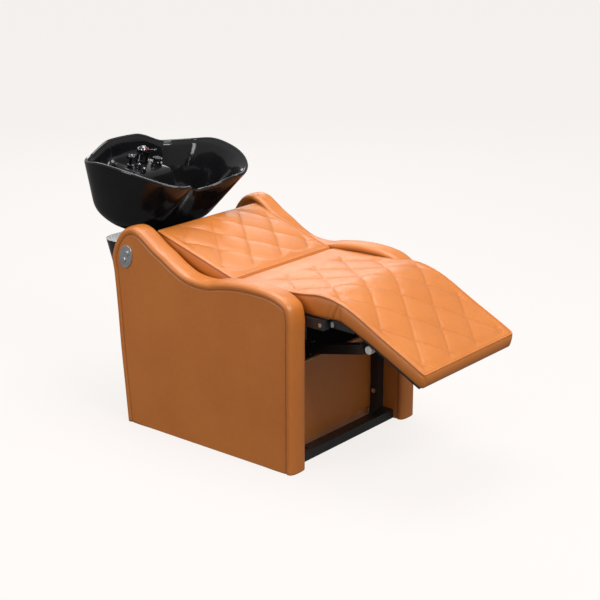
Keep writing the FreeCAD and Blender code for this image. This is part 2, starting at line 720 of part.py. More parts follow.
def basin():
    outer, inner = basin_shell()
    cavity = inner.cut(deck_block(0))
    below = deck_block(deck_slab)
    shell = outer.cut(cavity).cut(rim_cutter()).cut(below)
    drain = rod(waste_r, V(0, waste_y, basin_bottom - 5), V(0, waste_y, basin_bottom + basin_floor + 5))
    drain_seat = rod(waste_r + 13, V(0, waste_y, basin_bottom + basin_floor - 4),
                     V(0, waste_y, basin_bottom + basin_floor + 20))
    tap_hole = rod(16.0, V(mixer_x, mixer_y, deck_z - 30), V(mixer_x, mixer_y, deck_z + 5))
    spray_hole = rod(deck_hole_r + 3, V(spray_x, spray_y, deck_z - 30), V(spray_x, spray_y, deck_z + 5))
    cuts = [drain, drain_seat, tap_hole, spray_hole]
    cuts += [rod(4.0, V(x, y, basin_bottom - 1), V(x, y, basin_bottom + 10)) for x, y in basin_bolts()]
    cuts += [rod(4.0, V(x, y, deck_z - 30), V(x, y, deck_z + 5)) for x, y in deck_studs()]
    save("ceramic_basin", on_basin(shell.cut(Part.makeCompound(cuts))))
    plate_holes = [rod(4.5, V(x, y, -200), V(x, y, 0)) for x, y in basin_bolts()]
    plate_holes.append(rod(waste_r + 6, V(0, waste_y, -200), V(0, waste_y, 0)))
    half = 132.0
    carrier = box(-half, half, hinge_level_y - 65, hinge_level_y + 78, basin_plate_z, basin_plate_z + 6)
    for x in (-117.5, 109.5):
        pivot_z = basin_plate_z - hinge_drop
        lug = box(x, x + 8, hinge_level_y - 14, hinge_level_y + 14, pivot_z, basin_plate_z)
        lug = lug.fuse(rod(14.0, V(x, hinge_level_y, pivot_z), V(x + 8, hinge_level_y, pivot_z)))
        bore = rod(hinge_r + running_clearance, V(x - 1, hinge_level_y, pivot_z), V(x + 9, hinge_level_y, pivot_z))
        carrier = carrier.fuse(lug).cut(bore)
    save("basin_carrier", on_basin(carrier.removeSplitter().cut(Part.makeCompound(plate_holes))))
    pads_ = []
    bolts = []
    for x, y in basin_bolts():
        ring = rod(14.0, V(x, y, basin_bottom - 3), V(x, y, basin_bottom))
        pads_.append(on_basin(ring.cut(rod(4.5, V(x, y, -100), V(x, y, 0)))))
        bolts.append(on_basin(bolt(7.0, 5.0, 4.0, V(x, y, basin_plate_z - 5), V(x, y, basin_bottom + 10))))
    save("basin_pads", *pads_)
    save("basin_bolts", *bolts)


def basin_bolts():
    return [(x, y) for x in (-85.0, 85.0) for y in (hinge_level_y - 30, hinge_level_y + 62)]


def deck_studs():
    return [(-32.0, 83.0), (-42.0, 50.0)]


def waste():
    seat = basin_bottom + basin_floor - 4
    flange = rod(waste_r + 13, V(0, waste_y, seat), V(0, waste_y, seat + 4))
    sleeve = rod(waste_r, V(0, waste_y, basin_bottom - 16), V(0, waste_y, seat))
    bore = rod(waste_r - 3, V(0, waste_y, -300), V(0, waste_y, 0))
    recess = rod(waste_r + 7, V(0, waste_y, seat + 1.5), V(0, waste_y, seat + 10))
    save("waste_flange", on_basin(flange.fuse(sleeve).removeSplitter().cut(bore).cut(recess)))
    nut_z = basin_bottom - 16
    tail = rod(tail_r, V(0, waste_y, nut_z - 58), V(0, waste_y, nut_z - 6))
    collar = rod(waste_r, V(0, waste_y, nut_z - 6), V(0, waste_y, nut_z))
    tail = tail.fuse(collar).removeSplitter().cut(rod(tail_r - 2.5, V(0, waste_y, -300), V(0, waste_y, 0)))
    save("waste_tail", on_basin(tail))
    disc = rod(waste_r + 6.5, V(0, waste_y, seat + 1.7), V(0, waste_y, seat + 3.7))
    basket = rod(waste_r - 4, V(0, waste_y, seat - 14), V(0, waste_y, seat + 1.7))
    basket = basket.cut(rod(waste_r - 5.5, V(0, waste_y, seat - 12.5), V(0, waste_y, seat + 5)))
    shape = disc.fuse(basket).removeSplitter()
    slots = []
    for step in range(8):
        angle = math.radians(45.0 * step)
        x = math.cos(angle) * 11.0
        y = waste_y + math.sin(angle) * 11.0
        slots.append(rod(2.6, V(x, y, seat - 30), V(x, y, seat + 20)))
    save("hair_strainer", on_basin(shape.cut(Part.makeCompound(slots))))


# ---------------------------------------------------------------- taps on the deck
def taps():
    base = V(mixer_x, mixer_y, deck_z)
    up = V(0, 0, 1)
    body_top = mixer_ball_rise - 13.0
    body = rod(24.0, base, base + up * 4).fuse(rod(21.0, base, base + up * body_top))
    body = body.fuse(rod(15.8, base - up * 34, base)).removeSplitter()
    ball = base + up * mixer_ball_rise
    socket = Part.makeSphere(16.4, ball)
    save("mixer_body", on_basin(body.cut(socket)))
    nut = rod(23.0, base - up * (deck_slab + 10), base - up * deck_slab)
    fittings = [nut.cut(rod(15.8, base - up * 60, base))]
    fittings += [rod(6.0, base + V(dx, 0, -100), base + V(dx, 0, -34)) for dx in (-8.0, 8.0)]
    save("mixer_fittings", *[on_basin(piece) for piece in fittings])
    turret_top = mixer_ball_rise + 4.5
    pin_r = 2.2
    turret = rod(21.0, base + up * (body_top + 0.4), base + up * turret_top).cut(socket)
    turret = turret.fuse(rod(pin_r, ball - X_AXIS * 20, ball + X_AXIS * 20)).removeSplitter()
    save("mixer_turret", on_basin(turret))
    knob = Part.makeSphere(16.0, ball)
    arm = bar(ball, ball + V(0, -56, 24), 13.0, 6.0, 0)
    arm = softened(arm, 2.4, lambda e: e.CenterOfMass.y < ball.y - 10)
    clear = rod(30.0, base, base + up * (turret_top + 0.4)).cut(Part.makeSphere(16.0, ball))
    lever = knob.fuse(arm.cut(clear)).removeSplitter()
    lever = lever.cut(rod(pin_r + running_clearance, ball - X_AXIS * 30, ball + X_AXIS * 30))
    dot_at = ball + V(0, -16.8, 13.6)
    dot = rod(3.0, ball, dot_at + V(0, -0.4, 0.4))
    dot = dot.cut(Part.makeSphere(15.0, ball))
    save("mixer_lever", on_basin(lever.cut(dot)))
    save("temperature_mark", on_basin(dot))
    place = V(spray_x, spray_y, deck_z)
    collar = rod(19.0, place, place + up * 8).fuse(rod(deck_hole_r + 3, place - up * (deck_slab + 8), place))
    collar = collar.removeSplitter().cut(rod(deck_hole_r, place - up * 60, place + up * 60))
    save("spray_collar", on_basin(collar))
    head = Part.makeCone(13.0, 15.5, 14, place + up * 8.3)
    head = head.fuse(rod(deck_hole_r - 0.5, place - up * 62, place + up * 8.3))
    head = head.removeSplitter().cut(rod(13.0, place + up * 19.3, place + up * 30))
    save("spray_handset", on_basin(head))
    save("spray_face", on_basin(rod(13.0, place + up * 19.3, place + up * 23.8)))
    save("spray_hose_nut", on_basin(rod(9.0, place - up * 76, place - up * 62)))
    post = V(-55, 102, deck_z)
    cradle = rod(11.0, post, post + up * 5).fuse(rod(6.0, post, post + up * 34))
    cradle = cradle.fuse(rod(5.0, post + V(-17, 0, 34), post + V(17, 0, 34)))
    cradle = cradle.fuse(rod(4.0, post + V(0, -14, 34), post + V(0, 14, 34)))
    save("spray_cradle", on_basin(cradle.fuse(Part.makeSphere(7.5, post + up * 35)).removeSplitter()))
    studs = []
    for x, y in deck_studs():
        stud = rod(4.0, V(x, y, deck_z - deck_slab - 8), V(x, y, deck_z))
        cap = rod(8.5, V(x, y, deck_z), V(x, y, deck_z + 8)).fuse(Part.makeSphere(7.0, V(x, y, deck_z + 8)))
        cap = cap.fuse(stud).removeSplitter()
        studs.append(on_basin(cap))
    save("deck_cap_nuts", *studs)


floor_frame()
posts_and_rails()
side_panels()
switches()
pads()
kick_panel()
hinge()
leg_rest()
actuator()
pedestal()
basin_hinge()
basin()
waste()
taps()
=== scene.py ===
"""Looks of a salon shampoo backwash unit: tan quilted lounge, black ceramic basin, chrome taps."""

import json
import logging
import math
from dataclasses import dataclass, field
from enum import Enum

import bmesh
import bpy
import numpy as np
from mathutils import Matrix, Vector, noise

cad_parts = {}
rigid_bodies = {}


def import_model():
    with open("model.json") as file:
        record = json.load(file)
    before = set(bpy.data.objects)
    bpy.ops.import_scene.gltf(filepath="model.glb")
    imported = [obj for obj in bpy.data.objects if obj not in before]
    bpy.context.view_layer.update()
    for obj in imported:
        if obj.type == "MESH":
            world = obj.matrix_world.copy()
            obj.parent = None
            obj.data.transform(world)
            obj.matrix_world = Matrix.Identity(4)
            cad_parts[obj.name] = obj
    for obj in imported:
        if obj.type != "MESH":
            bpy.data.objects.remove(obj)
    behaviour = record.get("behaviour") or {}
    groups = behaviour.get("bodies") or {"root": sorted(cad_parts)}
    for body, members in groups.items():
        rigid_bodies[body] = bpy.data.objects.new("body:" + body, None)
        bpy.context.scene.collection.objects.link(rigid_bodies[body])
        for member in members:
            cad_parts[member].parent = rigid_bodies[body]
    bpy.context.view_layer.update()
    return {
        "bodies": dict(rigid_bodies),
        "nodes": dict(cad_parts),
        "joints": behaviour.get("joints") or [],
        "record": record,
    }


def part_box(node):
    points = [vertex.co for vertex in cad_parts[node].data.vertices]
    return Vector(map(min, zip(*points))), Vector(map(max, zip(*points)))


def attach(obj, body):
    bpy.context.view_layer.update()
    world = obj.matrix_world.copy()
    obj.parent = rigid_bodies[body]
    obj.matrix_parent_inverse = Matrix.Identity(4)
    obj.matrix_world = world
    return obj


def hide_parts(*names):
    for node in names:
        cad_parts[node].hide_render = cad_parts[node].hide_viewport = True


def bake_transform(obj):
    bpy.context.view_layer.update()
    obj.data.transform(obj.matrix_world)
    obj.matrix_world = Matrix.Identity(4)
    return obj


MM = 0.001
RANGE_INPUTS = ("From Min", "From Max", "To Min", "To Max")
LOG = logging.getLogger("backwash")


class Side(Enum):
    """The two sides of the unit, as the client sits."""

    LEFT = 1
    RIGHT = -1


class Grain(Enum):
    """Surface texture of a finish."""

    LEATHER = "leather"
    GLAZE = "glaze"
    BRUSHED = "brushed"
    MOULDED = "moulded"
    POWDER = "powder"
    WOOD = "wood"
    POLISHED = "polished"


# ------------------------------------------------------------------ finishes
@dataclass(frozen=True)
class Finish:
    """One surface finish, as it is ordered from a finisher.

    Colours are linear; tone is the second colour that the first one drifts into.
    """

    name: str
    colour: tuple[float, float, float]
    tone: tuple[float, float, float]
    grain: Grain
    roughness: float = 0.4
    spread: float = 0.08
    metallic: float = 0.0
    coat: float = 0.0
    coat_roughness: float = 0.05
    specular: float = 0.5
    patch_scale: float = 9.0
    grain_scale: float = 400.0
    grain_depth: float = 0.00015

    def material(self) -> bpy.types.Material:
        """Build the node tree of this finish.

        Returns:
            The finished material.
        """
        mat = bpy.data.materials.new(self.name)
        mat.use_nodes = True
        tree = mat.node_tree
        shader = tree.nodes["Principled BSDF"]
        shader.inputs["Metallic"].default_value = self.metallic
        shader.inputs["Coat Weight"].default_value = self.coat
        shader.inputs["Coat Roughness"].default_value = self.coat_roughness
        shader.inputs["Specular IOR Level"].default_value = self.specular
        place = tree.nodes.new("ShaderNodeTexCoord").outputs["Object"]
        patches = self._noise(tree, place, self.patch_scale, 4.0)
        mix = tree.nodes.new("ShaderNodeMix")
        mix.data_type = "RGBA"
        mix.inputs["A"].default_value = (*self.colour, 1.0)
        mix.inputs["B"].default_value = (*self.tone, 1.0)
        tree.links.new(self._levels(tree, patches, 0.35, 0.68, 0.0, 1.0), mix.inputs["Factor"])
        colour = mix.outputs["Result"]
        height = self._grain_height(tree, place)
        if self.grain is Grain.LEATHER:
            # grain wear, plus painted shade in seams, quilted channels, piping edges and folds
            colour = self._wear_and_painted_shade(tree, colour, height)
        tree.links.new(colour, shader.inputs["Base Color"])
        low = max(self.roughness - self.spread, 0.02)
        fine = self._noise(tree, place, self.patch_scale * 6.0, 5.0)
        rough = self._levels(tree, fine, 0.3, 0.7, low, self.roughness + self.spread)
        tree.links.new(rough, shader.inputs["Roughness"])
        bump = tree.nodes.new("ShaderNodeBump")
        bump.inputs["Strength"].default_value = 1.0
        bump.inputs["Distance"].default_value = self.grain_depth
        tree.links.new(height, bump.inputs["Height"])
        tree.links.new(bump.outputs["Normal"], shader.inputs["Normal"])
        return mat

    def _grain_height(
        self, tree: bpy.types.NodeTree, place: bpy.types.NodeSocket
    ) -> bpy.types.NodeSocket:
        """Height of the surface texture, from 0 to about 1.

        Args:
            tree: Node tree that the texture goes into.
            place: Coordinates to sample at.

        Returns:
            The socket that carries the height.
        """
        if self.grain is Grain.LEATHER:
            cells = tree.nodes.new("ShaderNodeTexVoronoi")
            cells.feature = "DISTANCE_TO_EDGE"
            cells.inputs["Scale"].default_value = self.grain_scale
            tree.links.new(self._warped(tree, place, 60.0, 0.004), cells.inputs["Vector"])
            pores = self._levels(tree, cells.outputs["Distance"], 0.0, 0.22, 0.0, 0.7)
            folds = self._noise(tree, place, 70.0, 3.0)
            return self._sum(tree, pores, folds)
        if self.grain in (Grain.BRUSHED, Grain.WOOD):
            squeeze = tree.nodes.new("ShaderNodeMapping")
            stretch = 0.03 if self.grain is Grain.BRUSHED else 0.12
            squeeze.inputs["Scale"].default_value = (stretch, 1.0, 1.0)
            tree.links.new(place, squeeze.inputs["Vector"])
            return self._noise(tree, squeeze.outputs["Vector"], self.grain_scale, 4.0)
        detail = 2.0 if self.grain in (Grain.GLAZE, Grain.POLISHED) else 6.0
        return self._noise(tree, place, self.grain_scale, detail)

    def _wear_and_painted_shade(
        self,
        tree: bpy.types.NodeTree,
        colour: bpy.types.NodeSocket,
        height: bpy.types.NodeSocket,
    ) -> bpy.types.NodeSocket:
        """Darken the pores, rub the high places lighter, and paint shade into the seams, quilted
        channels, piping edges and folds.

        Args:
            tree: Node tree of the leather.
            colour: Colour before wear.
            height: Height of the grain.

        Returns:
            The colour with wear and painted shade.
        """
        pore = tree.nodes.new("ShaderNodeMix")
        pore.data_type = "RGBA"
        pore.blend_type = "MULTIPLY"
        pore.inputs["B"].default_value = (0.84, 0.76, 0.70, 1.0)
        tree.links.new(self._levels(tree, height, 0.35, 0.85, 0.55, 0.0), pore.inputs["Factor"])
        tree.links.new(colour, pore.inputs["A"])
        # Painted shade: the per-point seam_shade mask darkens seams, channels, piping edges and
        # folds where shade falls
        seam_shade = tree.nodes.new("ShaderNodeAttribute")
        seam_shade.attribute_name = "seam_shade"
        dark = tree.nodes.new("ShaderNodeMix")
        dark.data_type = "RGBA"
        dark.blend_type = "MULTIPLY"
        # dark brown multiplied in as painted shade
        dark.inputs["B"].default_value = (0.42, 0.30, 0.22, 1.0)
        shade_share = self._levels(tree, seam_shade.outputs["Fac"], 0.0, 1.0, 0.0, 0.6)
        tree.links.new(shade_share, dark.inputs["Factor"])
        tree.links.new(pore.outputs["Result"], dark.inputs["A"])
        return dark.outputs["Result"]

    @staticmethod
    def _noise(
        tree: bpy.types.NodeTree, place: bpy.types.NodeSocket, scale: float, detail: float
    ) -> bpy.types.NodeSocket:
        """Add a noise texture.

        Args:
            tree: Node tree to add it to.
            place: Coordinates to sample at.
            scale: Features per metre.
            detail: Octaves.

        Returns:
            The noise value socket.
        """
        node = tree.nodes.new("ShaderNodeTexNoise")
        node.inputs["Scale"].default_value = scale
        node.inputs["Detail"].default_value = detail
        tree.links.new(place, node.inputs["Vector"])
        return node.outputs["Fac"]

    @staticmethod
    def _levels(
        tree: bpy.types.NodeTree,
        value: bpy.types.NodeSocket,
        low: float,
        high: float,
        new_low: float,
        new_high: float,
    ) -> bpy.types.NodeSocket:
        """Remap a value linearly, clamped at both ends.

        Args:
            tree: Node tree to add the node to.
            value: Value to remap.
            low: Input that gives new_low.
            high: Input that gives new_high.
            new_low: Output at low.
            new_high: Output at high.

        Returns:
            The remapped value socket.
        """
        node = tree.nodes.new("ShaderNodeMapRange")
        for name, number in zip(RANGE_INPUTS, (low, high, new_low, new_high)):
            node.inputs[name].default_value = number
        tree.links.new(value, node.inputs["Value"])
        return node.outputs["Result"]

    @staticmethod
    def _sum(
        tree: bpy.types.NodeTree, first: bpy.types.NodeSocket, second: bpy.types.NodeSocket
    ) -> bpy.types.NodeSocket:
        """Add two values.

        Args:
            tree: Node tree to add the node to.
            first: One value.
            second: The other value.

        Returns:
            The socket of their sum.
        """
        node = tree.nodes.new("ShaderNodeMath")
        node.operation = "ADD"
        tree.links.new(first, node.inputs[0])
        tree.links.new(second, node.inputs[1])
        return node.outputs["Value"]

    def _warped(
        self, tree: bpy.types.NodeTree, place: bpy.types.NodeSocket, scale: float, amount: float
    ) -> bpy.types.NodeSocket:
        """Push coordinates about with noise, so that cells lose their regular look.

        Args:
            tree: Node tree to add the nodes to.
            place: Coordinates to bend.
            scale: Features of the warp per metre.
            amount: Largest push, in metres.

        Returns:
            The bent coordinates socket.
        """
        stir = tree.nodes.new("ShaderNodeTexNoise")
        stir.inputs["Scale"].default_value = scale
        tree.links.new(place, stir.inputs["Vector"])
        push = tree.nodes.new("ShaderNodeVectorMath")
        push.operation = "SCALE"
        push.inputs["Scale"].default_value = amount
        tree.links.new(stir.outputs["Color"], push.inputs[0])
        total = tree.nodes.new("ShaderNodeVectorMath")
        total.operation = "ADD"
        tree.links.new(place, total.inputs[0])
        tree.links.new(push.outputs["Vector"], total.inputs[1])
        return total.outputs["Vector"]


LEATHER = Finish(
    "tan_leather", (0.60, 0.192, 0.034), (0.555, 0.168, 0.028), Grain.LEATHER,
    roughness=0.33, spread=0.05, specular=0.55, patch_scale=5.0, grain_scale=520.0,
    grain_depth=0.00013,
)
THREAD = Finish(
    "tan_thread", (0.66, 0.30, 0.11), (0.55, 0.23, 0.075), Grain.POWDER,
    roughness=0.62, grain_scale=2500.0, grain_depth=0.00008,
)
GLAZE = Finish(
    "black_glaze", (0.0055, 0.0055, 0.0065), (0.010, 0.010, 0.011), Grain.GLAZE,
    roughness=0.09, spread=0.02, specular=0.42, grain_scale=18.0, grain_depth=0.0005,
)
SHELL = Finish(
    "gloss_black_shell", (0.007, 0.007, 0.008), (0.013, 0.013, 0.014), Grain.MOULDED,
    roughness=0.16, spread=0.05, coat=0.6, coat_roughness=0.06, grain_scale=60.0,
    grain_depth=0.00025,
)
STEEL = Finish(
    "satin_black_steel", (0.012, 0.012, 0.013), (0.022, 0.021, 0.021), Grain.POWDER,
    roughness=0.42, spread=0.1, grain_scale=900.0, grain_depth=0.00008,
)
PLASTIC = Finish(
    "matt_black_plastic", (0.018, 0.018, 0.019), (0.028, 0.028, 0.029), Grain.MOULDED,
    roughness=0.52, grain_scale=700.0, grain_depth=0.0001,
)
# Polished chrome darkened as painted shade, for the fittings that sit in the bowl's shade
SHADED_DECK_CHROME = Finish(
    "shaded_deck_chrome", (0.20, 0.20, 0.21), (0.13, 0.13, 0.14), Grain.POLISHED,
    roughness=0.12, spread=0.04, metallic=1.0, grain_scale=180.0, grain_depth=0.00003,
)
CHROME = Finish(
    "polished_chrome", (0.80, 0.80, 0.82), (0.68, 0.69, 0.71), Grain.POLISHED,
    roughness=0.09, spread=0.04, metallic=1.0, grain_scale=180.0, grain_depth=0.00003,
)
PLATE = Finish(
    "brushed_plate", (0.62, 0.62, 0.63), (0.50, 0.50, 0.52), Grain.BRUSHED,
    roughness=0.28, spread=0.07, metallic=0.85, grain_scale=1600.0, grain_depth=0.00004,
)
ZINC = Finish(
    "zinc_steel", (0.42, 0.43, 0.44), (0.55, 0.54, 0.50), Grain.POWDER,
    roughness=0.34, spread=0.1, metallic=1.0, patch_scale=60.0, grain_scale=800.0,
    grain_depth=0.00005,
)
BRASS = Finish(
    "turned_brass", (0.58, 0.40, 0.16), (0.46, 0.30, 0.11), Grain.BRUSHED,
    roughness=0.3, metallic=1.0, grain_scale=900.0, grain_depth=0.00005,
)
NYLON = Finish(
    "white_nylon", (0.90, 0.89, 0.87), (0.82, 0.81, 0.78), Grain.MOULDED,
    roughness=0.38, patch_scale=40.0, grain_scale=500.0, grain_depth=0.00008,
)
# Black finish on the inner faces: painted shade of the unit's dark interior
INTERIOR_SHADE = Finish(
    "painted_interior_shade", (0.010, 0.010, 0.010), (0.016, 0.015, 0.015), Grain.POWDER,
    roughness=0.85, spread=0.05, specular=0.2, grain_scale=1500.0, grain_depth=0.0002,
)
RUBBER = Finish(
    "black_rubber", (0.014, 0.014, 0.014), (0.03, 0.03, 0.03), Grain.POWDER,
    roughness=0.7, grain_scale=1200.0, grain_depth=0.00012,
)
PIPE = Finish(
    "grey_pipe", (0.30, 0.31, 0.32), (0.22, 0.23, 0.24), Grain.MOULDED,
    roughness=0.4, grain_scale=400.0, grain_depth=0.0001,
)
WOOD = Finish(
    "birch_ply", (0.58, 0.42, 0.25), (0.42, 0.28, 0.15), Grain.WOOD,
    roughness=0.6, patch_scale=20.0, grain_scale=220.0, grain_depth=0.0003,
)
MARK = Finish(
    "red_inlay", (0.55, 0.012, 0.012), (0.38, 0.008, 0.008), Grain.MOULDED,
    roughness=0.25, coat=0.5, patch_scale=300.0, grain_scale=900.0, grain_depth=0.00004,
)
SLOT_FINISHES = {
    "steel_black": STEEL, "leather_tan": LEATHER, "board_wood": WOOD, "ceramic_black": GLAZE,
    "shell_black": SHELL, "plastic_black": PLASTIC, "nylon_white": NYLON, "chrome": CHROME,
    "plate_silver": PLATE, "steel_zinc": ZINC, "brass": BRASS, "rubber_black": RUBBER,
    "pipe_grey": PIPE, "mark_red": MARK,
}


# Fittings that get the chrome darkened as painted shade
DECK_FITTINGS = frozenset({
    "mixer_body", "mixer_turret", "mixer_lever", "spray_collar", "spray_handset", "spray_cradle",
    "deck_cap_nuts",
})


class Wardrobe:
    """Keeps one material of each finish and dresses pieces with it."""

    def __init__(self) -> None:
        """Start with no material made."""
        self._made: dict[str, bpy.types.Material] = {}

    def material(self, finish: Finish) -> bpy.types.Material:
        """Make a finish's material once, and hand out the same one after that.

        Args:
            finish: Finish that is wanted.

        Returns:
            Its material.
        """
        if finish.name not in self._made:
            self._made[finish.name] = finish.material()
        return self._made[finish.name]

    def dress(self, piece: bpy.types.Object, finish: Finish) -> None:
        """Give a piece one finish all over."""
        piece.data.materials.clear()
        piece.data.materials.append(self.material(finish))

    def dress_frame(self, frame: dict) -> None:
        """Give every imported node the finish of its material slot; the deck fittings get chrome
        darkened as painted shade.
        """
        slots = {row["node"]: row["material_slot"] for row in frame["record"]["subparts"]}
        for name, node in frame["nodes"].items():
            finish = SHADED_DECK_CHROME if name in DECK_FITTINGS else SLOT_FINISHES[slots[name]]
            for place in node.material_slots:
                place.material = self.material(finish)


# ------------------------------------------------------------------ mesh tools
def smooth_line(points: list[tuple[float, float]], step: float) -> np.ndarray:
    """Run a smooth curve through points and space it evenly.

    Args:
        points: Points that the curve goes through.
        step: Distance between the points that come out.

    Returns:
        Evenly spaced points, one row each.
    """
    given = np.array(points, float)
    padded = np.vstack([2 * given[0] - given[1], given, 2 * given[-1] - given[-2]])
    dense = []
    for i in range(1, len(padded) - 2):
        p0, p1, p2, p3 = padded[i - 1:i + 3]
        knots = [0.0]
        for a, b in ((p0, p1), (p1, p2), (p2, p3)):
            knots.append(knots[-1] + max(np.linalg.norm(b - a), 1e-9) ** 0.5)
        t0, t1, t2, t3 = knots
        for t in np.linspace(t1, t2, 24, endpoint=False):
            a1 = p0 * (t1 - t) / (t1 - t0) + p1 * (t - t0) / (t1 - t0)
            a2 = p1 * (t2 - t) / (t2 - t1) + p2 * (t - t1) / (t2 - t1)
            a3 = p2 * (t3 - t) / (t3 - t2) + p3 * (t - t2) / (t3 - t2)
            b1 = a1 * (t2 - t) / (t2 - t0) + a2 * (t - t0) / (t2 - t0)
            b2 = a2 * (t3 - t) / (t3 - t1) + a3 * (t - t1) / (t3 - t1)
            dense.append(b1 * (t2 - t) / (t2 - t1) + b2 * (t - t1) / (t2 - t1))
    dense.append(given[-1])
    return evenly(np.array(dense), step)


def evenly(line: np.ndarray, step: float) -> np.ndarray:
    """Space a line's points evenly.

    Args:
        line: Points of the line.
        step: Distance wanted between neighbours.

    Returns:
        The same line with even spacing.
    """
    runs = np.linalg.norm(np.diff(line, axis=0), axis=1)
    along = np.concatenate([[0.0], np.cumsum(runs)])
    count = max(int(round(along[-1] / step)), 2) + 1
    wanted = np.linspace(0.0, along[-1], count)
    return np.column_stack([np.interp(wanted, along, line[:, i]) for i in range(line.shape[1])])


def soft_step(low: float, high: float, value: float) -> float:
    """Rise smoothly from 0 at low to 1 at high."""
    share = min(max((value - low) / (high - low), 0.0), 1.0)
    return share * share * (3.0 - 2.0 * share)


def bell(value: float, width: float) -> float:
    """Bell curve: 1 at zero, falling away over width."""
    return math.exp(-((value / width) ** 2))


def shaded_rows(
    mesh: bmesh.types.BMesh, rings: list[list[Vector]], shades: list[float]
) -> list[list[bmesh.types.BMVert]]:
    """Add the points of some rings, each with how much painted shade it takes in seams, channels
    and folds.

    Args:
        mesh: Mesh to add them to.
        rings: Rings of equal length, in order.
        shades: Painted shade of every ring point, in the same order.

    Returns:
        The new vertices, ring by ring.
    """
    # painted shade of each point, read by the leather material
    layer = mesh.verts.layers.float.new("seam_shade")
    supply = iter(shades)
    rows = []
    for ring in rings:
        row = []
        for point in ring:
            vert = mesh.verts.new(point)
            vert[layer] = next(supply)
            row.append(vert)
        rows.append(row)
    return rows


def bridge(mesh: bmesh.types.BMesh, rows: list[list[bmesh.types.BMVert]]) -> None:
    """Join closed rings of vertices with faces, each to the next.

    Args:
        mesh: Mesh that holds them.
        rows: Rings of equal length, in order.
    """
    size = len(rows[0])
    for lower, upper in zip(rows, rows[1:]):
        for i in range(size):
            j = (i + 1) % size
            mesh.faces.new((lower[i], lower[j], upper[j], upper[i]))


def skin_rings(
    name: str, rings: list[list[Vector]], join_ends: bool = False, cap: bool = False
) -> bpy.types.Object:
    """Skin a run of rings into one mesh.

    Args:
        name: Name of the piece.
        rings: Rings of equal length, in order.
        join_ends: Whether the last ring joins the first.
        cap: Whether both end rings are closed with a face.

    Returns:
        The new piece, linked into the scene.
    """
    mesh = bmesh.new()
    rows = [[mesh.verts.new(point) for point in ring] for ring in rings]
    bridge(mesh, rows + rows[:1] if join_ends else rows)
    if cap:
        mesh.faces.new(rows[0])
        mesh.faces.new(list(reversed(rows[-1])))
    return finish_mesh(name, mesh)


def finish_mesh(name: str, mesh: bmesh.types.BMesh) -> bpy.types.Object:
    """Turn a bmesh into a smooth-shaded piece with its faces looking out.

    Args:
        name: Name of the piece.
        mesh: Mesh to use up.

    Returns:
        The new piece, linked into the scene.
    """
    bmesh.ops.remove_doubles(mesh, verts=mesh.verts, dist=1e-6)
    bmesh.ops.recalc_face_normals(mesh, faces=mesh.faces)
    data = bpy.data.meshes.new(name)
    mesh.to_mesh(data)
    mesh.free()
    data.shade_smooth()
    piece = bpy.data.objects.new(name, data)
    bpy.context.scene.collection.objects.link(piece)
    return piece


def tube_along(name: str, line: list[Vector], radius: float, sides: int = 10) -> bpy.types.Object:
    """Sweep a round tube with closed ends along a line.

    Args:
        name: Name of the piece.
        line: Points of the centre line.
        radius: Radius of the tube.
        sides: Faces round the tube.

    Returns:
        The new piece.
    """
    rings = []
    lift = Vector((0.0, 0.0, 1.0))
    for i, point in enumerate(line):
        along = (line[min(i + 1, len(line) - 1)] - line[max(i - 1, 0)]).normalized()
        across = along.cross(lift)
        across = across.normalized() if across.length > 0.05 else Vector((1.0, 0.0, 0.0))
        lift = across.cross(along).normalized()
        ring = []
        for k in range(sides):
            turn = 2 * math.pi * k / sides
            ring.append(point + (across * math.cos(turn) + lift * math.sin(turn)) * radius)
        rings.append(ring)
    return skin_rings(name, rings, cap=True)


def stitches(
    name: str,
    runs: list[list[tuple[Vector, Vector]]],
    pitch: float = 6.5 * MM,
    length: float = 4.2 * MM,
    radius: float = 0.45 * MM,
) -> bpy.types.Object:
    """Lay a row of thread stitches along each run of a surface.

    Args:
        name: Name of the piece.
        runs: Each run is a list of points on the surface with their outward normals.
        pitch: Distance from stitch to stitch.
        length: Length of one stitch.
        radius: Radius of the thread.

    Returns:
        One piece that holds every stitch.
    """
    mesh = bmesh.new()
    for run in runs:
        points = np.array([list(p) + list(n) for p, n in run])
        gaps = np.linalg.norm(np.diff(points[:, :3], axis=0), axis=1)
        along = np.concatenate([[0.0], np.cumsum(gaps)])
        count = int(along[-1] / pitch)
        for k in range(count):
            middle = (k + 0.5) * pitch
            ends = []
            for spot in (middle - length / 2, middle, middle + length / 2):
                row = [np.interp(spot, along, points[:, c]) for c in range(6)]
                ends.append((Vector(row[:3]), Vector(row[3:]).normalized()))
            add_stitch(mesh, ends, radius)
    return finish_mesh(name, mesh)


def add_stitch(
    mesh: bmesh.types.BMesh, ends: list[tuple[Vector, Vector]], radius: float
) -> None:
    """Add one short arched stitch.

    Args:
        mesh: Mesh to add it to.
        ends: Start, middle and end of the stitch, each with its surface normal.
        radius: Radius of the thread.
    """
    sides = 6
    rows = []
    for index, (point, normal) in enumerate(ends):
        along = (ends[2][0] - ends[0][0]).normalized()
        across = along.cross(normal).normalized()
        size = radius if index == 1 else radius * 0.45
        centre = point + normal * (radius * 0.7 if index == 1 else -radius * 0.4)
        row = []
        for k in range(sides):
            turn = 2 * math.pi * k / sides
            offset = across * math.cos(turn) + normal * math.sin(turn)
            row.append(mesh.verts.new(centre + offset * size))
        rows.append(row)
    bridge(mesh, rows)
    mesh.faces.new(rows[0])
    mesh.faces.new(list(reversed(rows[-1])))


def subdivide(piece: bpy.types.Object, levels: int) -> None:
    """Apply a subdivision surface to a piece.

    Args:
        piece: Piece to refine.
        levels: Number of subdivisions.
    """
    modifier = piece.modifiers.new("refine", "SUBSURF")
    modifier.levels = levels
    modifier.render_levels = levels
    bpy.context.view_layer.objects.active = piece
    bpy.ops.object.modifier_apply(modifier=modifier.name)


